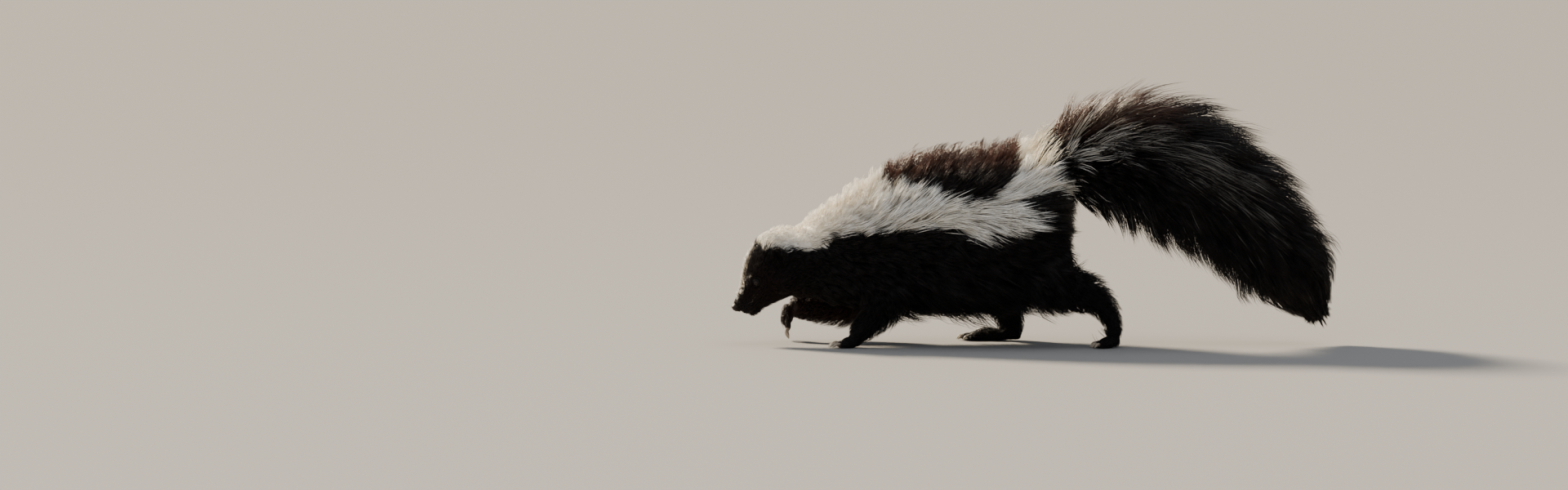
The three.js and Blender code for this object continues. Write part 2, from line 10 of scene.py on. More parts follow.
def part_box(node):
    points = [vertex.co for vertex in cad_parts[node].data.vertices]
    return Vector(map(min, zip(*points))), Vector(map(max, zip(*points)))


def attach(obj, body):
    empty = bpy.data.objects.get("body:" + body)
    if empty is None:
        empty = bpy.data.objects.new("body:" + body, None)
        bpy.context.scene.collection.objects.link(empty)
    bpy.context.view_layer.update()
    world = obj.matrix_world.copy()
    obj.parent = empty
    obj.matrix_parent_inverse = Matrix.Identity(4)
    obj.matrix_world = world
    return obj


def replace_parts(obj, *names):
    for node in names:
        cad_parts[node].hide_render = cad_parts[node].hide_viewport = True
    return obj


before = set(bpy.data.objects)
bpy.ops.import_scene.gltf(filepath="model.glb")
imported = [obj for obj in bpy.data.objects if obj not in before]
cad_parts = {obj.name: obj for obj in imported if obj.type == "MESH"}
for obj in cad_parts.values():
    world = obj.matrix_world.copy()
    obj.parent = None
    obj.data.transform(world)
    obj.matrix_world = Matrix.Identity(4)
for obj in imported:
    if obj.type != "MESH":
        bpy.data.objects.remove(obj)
for leftover in ("Cube", "Light", "Camera"):  # what an empty Blender file starts with
    if leftover in bpy.data.objects:
        bpy.data.objects.remove(bpy.data.objects[leftover])
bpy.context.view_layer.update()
print("frame loaded with", len(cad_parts), "nodes")


def linked(name, data):  # a new object in the scene
    holder = bpy.data.objects.new(name, data)
    bpy.context.scene.collection.objects.link(holder)
    return holder


def aimed(holder, way):  # a camera or lamp turned to look along a direction
    holder.rotation_euler = way.to_track_quat("-Z", "Y").to_euler()


# Camera, floor and light

camera = {
    "target": (-0.2588, 0.0, 0.1037),
    "distance": 9.07,
    "elevation": 4.5,  # degrees above level
    "lens": 200,
    "sensor": 36,
    "reach": 60,
}
studio = {
    "floorSize": 160,
    "floorColor": (0.215, 0.211, 0.205),
    "floorRoughness": 0.9,
    "worldColor": (0.84, 0.88, 0.94),
    "worldStrength": 0.46,
    "aim": (-0.02, 0.0, 0.13),
    "sunFrom": (-0.90, 0.80, 0.72),
    "sunStrength": 14.5,
    "sunSoftness": 12,  # degrees that the sun lamp spans
    "sunColor": (1.0, 0.84, 0.63),
    # name, place, width, height, power in watts, colour
    "lamps": (
        ("skyTop", (0.5, -0.2, 3.0), 2.4, 2.4, 42, (0.93, 0.96, 1.0)),
        ("nearFill", (-1.4, -3.2, 1.6), 2.4, 1.8, 26, (0.92, 0.95, 1.0)),
    ),
}


def setCamera():
    lens = bpy.data.cameras.new("camera")
    lens.lens = camera["lens"]
    lens.sensor_width = camera["sensor"]
    lens.clip_end = camera["reach"]
    holder = linked("camera", lens)
    rise = math.radians(camera["elevation"])
    back = Vector((0, -math.cos(rise), math.sin(rise)))
    holder.location = Vector(camera["target"]) + back * camera["distance"]
    aimed(holder, -back)
    bpy.context.scene.camera = holder


def setStudio():
    world = bpy.data.worlds.new("studioWorld")
    world.use_nodes = True
    sky = world.node_tree.nodes["Background"]
    sky.inputs["Color"].default_value = (*studio["worldColor"], 1)
    sky.inputs["Strength"].default_value = studio["worldStrength"]
    bpy.context.scene.world = world
    for name, place, width, height, power, color in studio["lamps"]:
        lamp = bpy.data.lights.new(name, "AREA")
        lamp.shape = "RECTANGLE"
        lamp.size, lamp.size_y = width, height
        lamp.energy = power
        lamp.color = color
        holder = linked(name, lamp)
        holder.location = place
        aimed(holder, Vector(studio["aim"]) - Vector(place))
    sun = bpy.data.lights.new("sun", "SUN")
    sun.energy = studio["sunStrength"]
    sun.angle = math.radians(studio["sunSoftness"])
    sun.color = studio["sunColor"]
    aimed(linked("sun", sun), -Vector(studio["sunFrom"]))
    half = studio["floorSize"] / 2
    corners = [(-half, -half, 0), (half, -half, 0), (half, half, 0), (-half, half, 0)]
    plane = bpy.data.meshes.new("floor")
    plane.from_pydata(corners, [], [(0, 1, 2, 3)])
    floor = linked("floor", plane)
    paint = bpy.data.materials.new("floorPaint")
    paint.use_nodes = True
    shader = paint.node_tree.nodes["Principled BSDF"]
    shader.inputs["Base Color"].default_value = (*studio["floorColor"], 1)
    shader.inputs["Roughness"].default_value = studio["floorRoughness"]
    plane.materials.append(paint)


setCamera()
setStudio()
print("camera and studio set")


# The animal's form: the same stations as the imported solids, but for thicker flesh in the tail

trunk = {
    # x, top, bottom, half width at the hair tips, and depth of the coat
    "stations": (
        (-0.272, 0.121, 0.062, 0.025, 0.005),
        (-0.251, 0.1285, 0.050, 0.035, 0.006),
        (-0.228, 0.138, 0.047, 0.0395, 0.009),
        (-0.205, 0.153, 0.041, 0.046, 0.013),
        (-0.175, 0.173, 0.036, 0.054, 0.017),
        (-0.145, 0.190, 0.035, 0.060, 0.020),
        (-0.112, 0.206, 0.036, 0.065, 0.023),
        (-0.077, 0.210, 0.038, 0.069, 0.025),
        (-0.042, 0.213, 0.040, 0.073, 0.026),
        (-0.010, 0.214, 0.046, 0.074, 0.026),
        (0.016, 0.206, 0.058, 0.066, 0.023),
        (0.034, 0.185, 0.080, 0.050, 0.017),
        (0.043, 0.162, 0.102, 0.032, 0.012),
        (0.048, 0.148, 0.116, 0.017, 0.006),
    ),
    "waist": 0.47,  # the widest level, as a share of the depth
    "fullness": 2.15,
    "skinDepth": 0.66,  # how far the skin lies under the hair tips, as a share of the coat
    "sideInset": 0.8,  # of that depth, on the flanks and under the belly
    "bellyInset": 0.6,
    "rearInset": 0.025,  # how much shorter the skin is than the coat at the rump
    "rearShares": (0.72, 0.95),
    "backDip": 0.0065,  # how much lower the skin lies under the standing hair of the back
    "dipX": (-0.135, -0.095, -0.035, 0.0),
    # where the nape dips behind the head and the shoulders rise: x, spread and height
    "nape": ((-0.244, 0.011, -0.0060), (-0.216, 0.009, 0.0025)),
}
tail = {
    # x, z, radius of the plume at the hair tips, and of the flesh
    "stations": (
        (0.026, 0.182, 0.052, 0.024),
        (0.066, 0.195, 0.068, 0.019),
        (0.113, 0.194, 0.079, 0.0145),
        (0.159, 0.176, 0.081, 0.0110),
        (0.203, 0.147, 0.074, 0.0085),
        (0.242, 0.110, 0.063, 0.007),
        (0.274, 0.072, 0.046, 0.006),
        (0.297, 0.030, 0.010, 0.004),
    ),
    "flatness": 0.84,
    "fleshEnd": 0.93,
}
head = {
    # distance back from the nose, top, bottom, half width, and level of the middle
    "stations": (
        (-0.001, 0.0025, -0.0045, 0.0045, -0.001),
        (0.004, 0.005, -0.009, 0.008, -0.003),
        (0.012, 0.0075, -0.017, 0.011, -0.006),
        (0.022, 0.011, -0.024, 0.0145, -0.007),
        (0.034, 0.018, -0.0295, 0.0205, -0.006),
        (0.047, 0.0245, -0.036, 0.0265, -0.006),
        (0.061, 0.028, -0.041, 0.0305, -0.006),
        (0.075, 0.0285, -0.043, 0.032, -0.007),
        (0.087, 0.023, -0.036, 0.029, -0.007),
        (0.094, 0.009, -0.020, 0.015, -0.007),
    ),
    "fullness": 2.1,
    "noseTip": (-0.310, -0.009, 0.038),
    "pitch": 50,  # degrees that the muzzle points below the horizon
    "yaw": 7,
    "skinDepth": (0.0006, 0.0034),  # under the short hair, at the nose and at the nape
    # soft forms over the skull: back, side, up, then the three radii
    "forms": (
        (0.037, 0.0125, 0.0062, 0.013, 0.0056, 0.0056),
        (0.0058, 0.0000, -0.0012, 0.0066, 0.0058, 0.0050),
        (0.013, 0.0062, -0.0085, 0.0105, 0.0058, 0.0066),
        (0.059, 0.0190, -0.0150, 0.019, 0.0118, 0.0160),
        (0.072, 0.0150, 0.0100, 0.014, 0.0120, 0.0120),
    ),
    "chin": (0.017, 0, -0.0165, 0.012, 0.0062, 0.0056),
}
ears = {
    "place": (0.068, -0.001),  # back from the nose, and up
    "offset": (0.003, 0.0035, 0.005),
    "turn": (38, 12, 34),
    "radii": (0.0052, 0.0098, 0.0100),
    "wall": 0.0022,
    "open": 116,  # degrees from the back of the cup to its rim
}
legs = {
    # x, y, z of each joint, then half the depth fore and aft and half the width
    "forelegLeft": (
        (-0.168, -0.030, 0.098, 0.030, 0.020),
        (-0.156, -0.039, 0.062, 0.025, 0.017),
        (-0.155, -0.042, 0.044, 0.020, 0.015),
        (-0.170, -0.041, 0.026, 0.015, 0.0125),
        (-0.182, -0.040, 0.014, 0.0115, 0.011),
    ),
    "forelegRight": (
        (-0.170, 0.030, 0.094, 0.030, 0.020),
        (-0.180, 0.038, 0.060, 0.025, 0.018),
        (-0.190, 0.041, 0.038, 0.020, 0.016),
        (-0.222, 0.040, 0.036, 0.017, 0.014),
        (-0.246, 0.038, 0.037, 0.0125, 0.012),
    ),
    "hindlegLeft": (
        (0.002, -0.039, 0.108, 0.038, 0.022),
        (0.020, -0.043, 0.070, 0.030, 0.021),
        (0.052, -0.044, 0.057, 0.021, 0.017),
        (0.069, -0.043, 0.046, 0.015, 0.013),
        (0.081, -0.042, 0.028, 0.0105, 0.010),
        (0.084, -0.042, 0.015, 0.009, 0.009),
    ),
    "hindlegRight": (
        (-0.002, 0.040, 0.108, 0.038, 0.022),
        (-0.034, 0.044, 0.070, 0.029, 0.021),
        (-0.032, 0.044, 0.048, 0.022, 0.018),
        (-0.024, 0.043, 0.028, 0.016, 0.013),
        (-0.020, 0.042, 0.010, 0.0125, 0.011),
    ),
}
legSkinDepth = (0.0088, 0.0012)  # under the hair, at the top of a leg and at the wrist
paws = {
    # place of the wrist, bend and turn out in degrees, height, length, width, heel, claw, droop
    "forelegLeft": ((-0.184, -0.040, 0.012), 0, 6, 0.012, 0.014, 0.020, 0.005, 0.010, 0),
    "forelegRight": ((-0.258, 0.038, 0.034), 76, 0, 0.010, 0.015, 0.020, 0.005, 0.010, 0.003),
    "hindlegLeft": ((0.083, -0.042, 0.012), 0, 8, 0.012, 0.013, 0.020, 0.006, 0.0065, 0),
    "hindlegRight": ((-0.021, 0.042, 0.012), 0, -8, 0.012, 0.046, 0.021, 0.010, 0.0065, 0),
}
skinMesh = {"voxel": 0.0015, "smoothing": 4, "gentle": 1, "sole": 0.0003}


def unit(v):
    return v / np.maximum(np.linalg.norm(v, axis=-1, keepdims=True), 1e-12)


def ease(x, low, high):  # 0 below low, 1 above high, smooth between
    s = np.clip((x - low) / (high - low), 0, 1)
    return s * s * (3 - 2 * s)


def through(values, t):  # smooth curve through equally spaced rows, at shares t of its length
    rows = np.asarray(values, float)
    last = len(rows) - 1
    place = np.clip(np.atleast_1d(t), 0, 1) * last
    i = np.minimum(place.astype(int), last - 1)
    f = (place - i)[:, None]
    a, b, c, d = (rows[np.clip(i + n, 0, last)] for n in (-1, 0, 1, 2))
    return 0.5 * (
        2 * b + f * (c - a) + f**2 * (2 * a - 5 * b + 4 * c - d) + f**3 * (3 * b - a - 3 * c + d)
    )


def lineAt(x, rows, column=1):  # height at x of a line through rows of places
    rows = np.array(rows)
    return np.interp(x, rows[:, 0], rows[:, column])


def shareAt(stations, values):  # share of the length at which the first column has each value
    shares = np.linspace(0, 1, 400)
    return np.interp(values, through(stations, shares)[:, 0], shares)


def circle(count):  # angles evenly round
    return np.arange(count) * 2 * math.pi / count


def oval(angle, fullness):
    c, s = np.cos(angle), np.sin(angle)
    return [np.sign(v) * np.abs(v) ** (2 / fullness) for v in (c, s)]


def loft(rings):  # closed surface over rows of rings, each end closed on its middle
    rows, around, _ = rings.shape
    points = np.vstack([rings.reshape(-1, 3), rings[0].mean(0), rings[-1].mean(0)])
    first, last = rows * around, rows * around + 1
    end = (rows - 1) * around
    faces = []
    for i in range(around):
        j = (i + 1) % around
        faces.append((first, j, i))
        faces.append((last, end + i, end + j))
        for here in range(0, end, around):
            faces.append((here + i, here + j, here + around + j, here + around + i))
    return points, faces


def ballForm(centre, radii, across=24, tall=16):
    high = np.linspace(-math.pi / 2, math.pi / 2, tall + 1)[1:-1]
    turn = circle(across)
    ring = [
        np.stack([np.cos(turn) * math.cos(h), np.sin(turn) * math.cos(h), turn * 0 + math.sin(h)], 1)
        for h in high
    ]
    return loft(np.array(ring) * np.array(radii) + np.array(centre))


def inSpace(points, matrix):
    m = np.array(matrix)
    return points @ m[:3, :3].T + m[:3, 3]


def moved(form, matrix):
    points, faces = form
    return inSpace(points, matrix), faces


def makeMesh(name, forms):
    points, faces, start = [], [], 0
    for formPoints, formFaces in forms:
        points.append(formPoints)
        faces += [tuple(start + i for i in face) for face in formFaces]
        start += len(formPoints)
    mesh = bpy.data.meshes.new(name)
    mesh.from_pydata(np.vstack(points).tolist(), [], faces)
    mesh.update()
    return mesh


def addPiece(name, mesh, material):
    piece = linked(name, mesh)
    mesh.polygons.foreach_set("use_smooth", np.ones(len(mesh.polygons), bool))
    mesh.materials.clear()
    mesh.materials.append(material)
    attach(piece, "root")
    return piece


headSpace = (
    Matrix.Translation(head["noseTip"])
    @ Matrix.Rotation(math.radians(head["yaw"]), 4, "Z")
    @ Matrix.Rotation(math.radians(-head["pitch"]), 4, "Y")
)
headTurn = np.array(headSpace)[:3, :3]


def toHead(points):
    return (points - np.array(head["noseTip"])) @ headTurn


def fromHead(points):
    return points @ headTurn.T + np.array(head["noseTip"])


def trunkPoint(t, angle, depth):  # depth is the share of the coat above the point
    x, top, bottom, side, coat = through(trunk["stations"], t).T
    inset = coat * depth
    middle = bottom + (top - bottom) * trunk["waist"]
    begin, full, less, end = trunk["dipX"]
    top = top - trunk["backDip"] * ease(x, begin, full) * (1 - ease(x, less, end))
    for place, spread, rise in trunk["nape"]:
        top = top + rise * np.exp(-(((x - place) / spread) ** 2))
    c, s = oval(angle, trunk["fullness"])
    rise = np.where(s > 0, top - middle - inset, middle - bottom - trunk["bellyInset"] * inset)
    x = x - trunk["rearInset"] * depth * ease(t, *trunk["rearShares"])
    return np.stack([x, c * (side - trunk["sideInset"] * inset), middle + s * rise], 1)


def tailPoint(t, angle, radius):
    x, z = through(tail["stations"], t)[:, :2].T
    ahead = through(tail["stations"], t + 0.01)[:, :2] - through(tail["stations"], t - 0.01)[:, :2]
    ahead = unit(ahead)
    lift = radius * np.sin(angle)
    return np.stack(
        [x - ahead[:, 1] * lift, radius * tail["flatness"] * np.cos(angle), z + ahead[:, 0] * lift], 1
    )


def headPoint(t, angle, inset):
    back, top, bottom, side, middle = through(head["stations"], t).T
    c, s = oval(angle, head["fullness"])
    rise = np.where(s > 0, top - middle - inset, middle - bottom - inset)
    return np.stack([back, c * (side - inset), middle + s * rise], 1)


def ringsOf(surface, shares, around, depthAt):
    turn = circle(around)
    return np.array([surface(np.full(around, t), turn, depthAt(t)) for t in shares])


def headPlace(back, up):  # share of the length and angle that give a place on the head's side
    shares = np.linspace(0, 1, 500)
    rows = through(head["stations"], shares)
    found = int(np.argmax(rows[:, 0] >= back))
    _, top, bottom, _, middle = rows[found]
    height = (up - middle) / (top - middle if up > middle else middle - bottom)
    bulge = math.copysign(abs(height) ** (head["fullness"] / 2), height)
    return shares[found], math.asin(max(-1, min(1, bulge)))


def onHead(back, up, side, inset=0.0):
    t, angle = headPlace(back, up)
    p = headPoint(np.array([t]), np.array([angle]), inset)[0]
    return np.array([p[0], p[1] * side, p[2]])


def legFrame(joints, t):
    row = through(joints, t)
    step = 0.1  # share of the leg over which its direction is taken
    ahead = unit(through(joints, t + step)[:, :3] - through(joints, t - step)[:, :3])
    wide = unit(np.array([0, 1, 0]) - ahead * ahead[:, 1:2])
    deep = np.cross(wide, ahead)
    return row, ahead, wide, deep


def legInset(share):  # how deep the skin of a leg lies under its hair
    return legSkinDepth[0] + (legSkinDepth[1] - legSkinDepth[0]) * share


def legForm(joints, around=20, along=26):
    shares = np.linspace(0, 1, along)
    row, ahead, wide, deep = legFrame(joints, shares)
    inset = legInset(shares)
    turn = circle(around)
    rings = (
        row[:, None, :3]
        + deep[:, None] * np.cos(turn)[None, :, None] * (row[:, 3] - inset)[:, None, None]
        + wide[:, None] * np.sin(turn)[None, :, None] * (row[:, 4] - inset)[:, None, None]
    )
    end = row[-1, :3] + (rings[-1] - row[-1, :3]) * 0.6 + ahead[-1] * row[-1, 4] * 0.5
    return loft(np.concatenate([rings, end[None]]))


def tubeForm(stops, around=10, flat=1.0):  # tube through x, y, z, radius; a radius of 0 is a point
    rows = np.asarray(stops, float)
    shares = np.linspace(0, 1, 3 * len(rows) - 2)
    line = through(rows, shares)
    ahead = unit(np.gradient(line[:, :3], axis=0))
    wide = unit(np.cross(ahead, (0, 0, 1)))
    deep = np.cross(wide, ahead)
    turn = circle(around)
    radius = np.maximum(line[:, 3], 2e-5)[:, None, None]
    rings = line[:, None, :3] + radius * (
        wide[:, None] * np.cos(turn)[None, :, None] + deep[:, None] * np.sin(turn)[None, :, None] * flat
    )
    return loft(rings)


def pawSpace(name):
    place, bend, out = paws[name][:3]
    turn = Matrix.Rotation(math.radians(out), 4, "Z") @ Matrix.Rotation(math.radians(-bend), 4, "Y")
    return Matrix.Translation(place) @ turn


def toesOf(name):  # each toe as its way forward, its side place and its fan outwards
    _, _, _, _, length, width, _, _, _ = paws[name]
    for toe in range(5):
        spread = (toe - 2) / 2
        yield length * (1 - 0.17 * spread**2), spread * width * 0.4, spread * width * 0.09


def pawForms(name):
    _, _, _, height, length, width, heel, _, droop = paws[name]
    sole = -height
    forms = [
        tubeForm(
            [
                (heel, 0, sole + width * 0.34, width * 0.24),
                (heel - 0.004, 0, sole + width * 0.34, width * 0.38),
                (-length * 0.4, 0, sole + width * 0.27, width * 0.45),
                (-length * 0.76, 0, sole + width * 0.2, width * 0.42),
                (-length * 0.95, 0, sole + width * 0.16, width * 0.22),
            ],
            20,
            0.66,
        )
    ]
    for forward, y, fan in toesOf(name):
        forms.append(
            tubeForm(
                [
                    (-forward + 0.008, y, sole + 0.0042, 0.0021),
                    (-forward + 0.001, y + fan, sole + 0.0045 - droop * 0.3, 0.0029),
                    (-forward - 0.0045, y + fan * 1.5, sole + 0.0031 - droop * 0.6, 0.0026),
                    (-forward - 0.0065, y + fan * 1.7, sole + 0.0029 - droop * 0.7, 0.0012),
                ],
                12,
            )
        )
    return [moved(form, pawSpace(name)) for form in forms]


def earSpace(side):
    root = onHead(*ears["place"], side)
    dx, dy, dz = ears["offset"]
    a, b, c = (math.radians(v) for v in ears["turn"])
    turn = Euler((side * -a, b, side * -c), "XYZ").to_matrix().to_4x4()
    return Matrix.Translation(root + np.array([dx, side * dy, dz])) @ turn


def earForm(side, across=28, tall=12):  # a cup with a wall, open towards its own -X
    turn = circle(across)
    rise = np.radians(np.linspace(4, ears["open"], tall))
    a, b, c = ears["radii"]
    wall = ears["wall"]

    def shell(inset, angles):
        return [
            np.stack(
                [
                    turn * 0 + (a - inset) * math.cos(h),
                    (b - inset) * math.sin(h) * np.cos(turn),
                    (c - inset) * math.sin(h) * np.sin(turn),
                ],
                1,
            )
            for h in angles
        ]

    rings = np.array(shell(0, rise) + shell(wall, rise[::-1]))
    return moved(loft(rings), headSpace @ earSpace(side))


def trunkDepth(t):
    return trunk["skinDepth"]


def headDepth(t):
    atFace, atNape = head["skinDepth"]
    return atFace + (atNape - atFace) * t


def tailFlesh(t, turn, depth):
    return tailPoint(t, turn, through(tail["stations"], t)[:, 3] - depth)


def noDepth(t):
    return 0


def skinForms():
    forms = [
        loft(ringsOf(trunkPoint, np.linspace(0, 1, 60), 48, trunkDepth)),
        loft(ringsOf(tailFlesh, np.linspace(0, tail["fleshEnd"], 70), 24, noDepth)),
        moved(loft(ringsOf(headPoint, np.linspace(0, 1, 60), 40, headDepth)), headSpace),
    ]
    for side in (-1, 1):
        for back, out, up, *radii in head["forms"]:
            forms.append(moved(ballForm((back, side * out, up), radii), headSpace))
        forms.append(earForm(side))
    chin = head["chin"]
    forms.append(moved(ballForm(chin[:3], chin[3:]), headSpace))
    for name, joints in legs.items():
        forms.append(legForm(joints))
        forms += pawForms(name)
    return forms


def remeshed(mesh, voxel):
    draft = linked("draft", mesh)
    remesh = draft.modifiers.new("oneSkin", "REMESH")
    remesh.mode = "VOXEL"
    remesh.voxel_size = voxel
    found = bpy.data.meshes.new_from_object(
        draft.evaluated_get(bpy.context.evaluated_depsgraph_get())
    )
    bpy.data.objects.remove(draft)
    return found


def valuesOf(items, key, width, kind=float):
    flat = np.empty(len(items) * width, kind)
    items.foreach_get(key, flat)
    return flat.reshape(-1, width)


def pointsOf(mesh):
    return valuesOf(mesh.vertices, "co", 3)


def setPoints(mesh, points):
    mesh.vertices.foreach_set("co", points.ravel())
    mesh.update()


def normalsOf(mesh):
    return valuesOf(mesh.vertex_normals, "vector", 3)


def edgesOf(mesh):
    return valuesOf(mesh.edges, "vertices", 2, np.int32)


def evened(values, edges, share, rounds):  # each value drawn towards the mean of its neighbours
    count = len(values)
    near = np.bincount(edges.ravel(), minlength=count)[:, None]
    found = values.copy()
    for _ in range(rounds):
        total = np.zeros_like(found)
        for k in range(found.shape[1]):
            total[:, k] += np.bincount(edges[:, 0], found[edges[:, 1], k], count)
            total[:, k] += np.bincount(edges[:, 1], found[edges[:, 0], k], count)
        found += share * (total / near - found)
    return found


def keepLargest(mesh):
    edges = edgesOf(mesh)
    label = np.arange(len(mesh.vertices))
    while True:  # each vertex takes the lowest label that it can reach
        low = np.minimum(label[edges[:, 0]], label[edges[:, 1]])
        before = label.copy()
        np.minimum.at(label, edges[:, 0], low)
        np.minimum.at(label, edges[:, 1], low)
        label = label[label]
        if np.array_equal(before, label):
            break
    main = np.bincount(label).argmax()
    if (label != main).any():
        shape = bmesh.new()
        shape.from_mesh(mesh)
        shape.verts.ensure_lookup_table()
        loose = [shape.verts[i] for i in np.flatnonzero(label != main)]
        bmesh.ops.delete(shape, geom=loose, context="VERTS")
        shape.to_mesh(mesh)
        shape.free()
    return mesh


# Face and the fine shape of the skin

face = {
    "fineBack": (0.050, 0.028),  # the head is meshed finer, and finer again, from the nose to here
    "mouth": ((0.0015, -0.0062), (0.008, -0.0094), (0.016, -0.0120), (0.025, -0.0124)),
    "mouthDepth": 0.0015,
    "mouthWidth": 0.0008,
    "lipSwell": 0.0005,
    "socketReach": 0.0088,
    "socketDepth": 0.0012,
    "eyeOut": (-0.42, 0.86, 0.20),  # the way an eye looks, in the head's own space
    "lipGap": 0.0021,  # from the line of the mouth to the crest of a lip
}


def eyePlace(side):  # centre of an eye, in the head's own space
    low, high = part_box("eye_left" if side < 0 else "eye_right")
    return toHead(np.array((low + high) / 2)[None])[0]


def eyeWay(side):
    a, b, c = face["eyeOut"]
    return unit(np.array([a, side * b, c]))


def finerFace(mesh):
    shape = bmesh.new()
    shape.from_mesh(mesh)
    for reach in face["fineBack"]:
        places = toHead(np.array([v.co[:] for v in shape.verts]))
        near = (places[:, 0] < reach) & (np.abs(places[:, 1]) < 0.04) & (places[:, 2] > -0.045)
        chosen = set(np.flatnonzero(near).tolist())
        shape.verts.index_update()
        edges = [e for e in shape.edges if all(v.index in chosen for v in e.verts)]
        bmesh.ops.subdivide_edges(shape, edges=edges, cuts=1, use_grid_fill=True)
    shape.to_mesh(mesh)
    shape.free()


def sculptFace(mesh):
    points, normals = pointsOf(mesh), normalsOf(mesh)
    local = toHead(points)
    back, side, up = local.T
    line = np.array(face["mouth"])
    away = up - lineAt(back, line)
    first, last = line[0, 0], line[-1, 0]
    ends = ease(back, first - 0.002, first) * (1 - ease(back, last, last + 0.002))
    ends = ends * (np.abs(side) < 0.03) * (np.abs(away) < 0.006)
    move = -face["mouthDepth"] * np.exp(-((away / face["mouthWidth"]) ** 2)) * ends
    move += face["lipSwell"] * np.exp(-(((np.abs(away) - face["lipGap"]) / 0.001) ** 2)) * ends
    for eyeSide in (-1, 1):
        gap = np.linalg.norm(local - eyePlace(eyeSide) - eyeWay(eyeSide) * 0.002, axis=1)
        ring = ease(gap, 0.003, 0.0055) * (1 - ease(gap, 0.0058, face["socketReach"]))
        move -= face["socketDepth"] * ring
    setPoints(mesh, points + normals * move[:, None])


def makeSkin():
    mesh = keepLargest(remeshed(makeMesh("skin", skinForms()), skinMesh["voxel"]))
    finerFace(mesh)
    points = pointsOf(mesh)
    edges = edgesOf(mesh)
    smooth = evened(points, edges, 0.5, skinMesh["smoothing"])
    fine = evened(points, edges, 0.5, skinMesh["gentle"])
    low = 1 - ease(points[:, 2], 0.012, 0.022)  # feet keep the shape of their toes
    far = 1 - ease(np.linalg.norm(points - np.array(paws["forelegRight"][0]), axis=1), 0.02, 0.032)
    keep = np.maximum(low, far)[:, None]
    shaped = smooth * (1 - keep) + fine * keep
    shaped[:, 2] = np.maximum(shaped[:, 2], skinMesh["sole"])
    setPoints(mesh, shaped)
    sculptFace(mesh)
    return mesh


skinShape = makeSkin()
print("one skin with", len(skinShape.vertices), "points")


# Where each place of the skin belongs, and how its hair lies

lie = {
    "density": {  # hairs to a square metre
        "trunk": 330e3,
        "head": 620e3,
        "face": 1050e3,
        "eye": 2400e3,
        "leg": 430e3,
        "paw": 800e3,
        "ear": 1000e3,
    },
    # the way the trunk's hair points as seen from the side, in degrees above level:
    # x, then at each of the levels
    "levels": (0.085, 0.120, 0.150, 0.182),
    "ways": (
        (-0.250, -16, -6, 0, 8),
        (-0.200, -18, 0, 18, 34),
        (-0.160, -18, 22, 50, 60),
        (-0.120, -18, 6, 45, 62),
        (-0.090, -18, -18, 24, 62),
        (-0.060, -20, -38, 0, 62),
        (-0.030, -22, -18, 16, 62),
        (0.000, -30, -10, 22, 62),
        (0.024, -50, -34, -14, 24),
        (0.048, -64, -56, -40, -30),
    ),
    "lengthOfHeight": (2.9, 1.7),  # on the flank, and on the back where the hair stands
    "backHeight": 0.84,  # the hair of the back, as a share of the depth that it fills
    "muzzle": (0.011, 0, -0.010),  # middle of the muzzle, in the head's own space
    "faceLength": 0.0028,
    "napeLength": 0.013,
    "pawLength": 0.0036,
    "earLength": 0.0050,
    "earHeight": 0.0012,
    "pawHeight": 0.0007,
    "eyeHeight": 0.0007,
    "bellyLength": 0.026,
    "evening": 14,
    "tuftStand": 1.25,  # how much higher the tufts over the tail stand
    "tuftX": (-0.008, 0.000, 0.022, 0.031),  # where they begin and end
    "rearLength": 0.017,
    "rearX": (0.008, 0.026),
    "rearZ": (0.15, 0.18),
    # where each kind of hair gives way to the next, in metres, radii of the form or shares of a leg
    "headBack": (0.066, 0.092),
    "headAround": (1.2, 1.5),
    "headFront": (-0.02, -0.004),
    "muzzleReach": (0.019, 0.024),
    "legAround": (1.0, 1.5),
    "legAlong": (0.05, 0.4),
    "wrist": (0.75, 1.0),
    "eyeReach": (0.005, 0.010),
    "earReach": (1.12, 1.35),
    "tailReach": (0.018, 0.032),
    "tailX": (0.038, 0.060),
    "fringe": (0.25, 0.95),  # how much longer the fringe hangs at least, and its spread
}


def legPlace(points, joints):  # how many leg widths away, and the share of the leg, of each point
    shares = np.linspace(0, 1, 45)
    row, ahead, wide, deep = legFrame(joints, shares)
    best = np.full(len(points), 9.0)
    at = np.zeros(len(points))
    for k, share in enumerate(shares):
        d = points - row[k, :3]
        size = (row[k, 3] + row[k, 4]) / 2
        away = (d @ deep[k] / row[k, 3]) ** 2 + (d @ wide[k] / row[k, 4]) ** 2
        away = away + (d @ ahead[k] / size) ** 2
        closer = away < best
        best[closer] = away[closer]
        at[closer] = share
    return np.sqrt(best), at


def headRows(back):  # share of the head's length, and the station there
    t = shareAt(head["stations"], back)
    return t, through(head["stations"], t)


def trunkPlace(points):  # share of the trunk, angle round it, and depth of the coat
    t = shareAt(trunk["stations"], points[:, 0])
    _, top, bottom, side, coat = through(trunk["stations"], t).T
    middle = bottom + (top - bottom) * trunk["waist"]
    rise = points[:, 2] - middle
    rise = rise / np.where(rise > 0, top - middle, middle - bottom)
    angle = np.arctan2(rise, points[:, 1] / side)
    return t, angle, coat


def tailPlace(points):
    shares = np.linspace(0, 1, 90)
    rows = through(tail["stations"], shares)
    best = np.full(len(points), 9.0)
    at = np.zeros(len(points))
    for share, (x, z, _, _) in zip(shares, rows):
        away = np.hypot(np.hypot(points[:, 0] - x, points[:, 2] - z), points[:, 1])
        closer = away < best
        best[closer] = away[closer]
        at[closer] = share
    return best, at


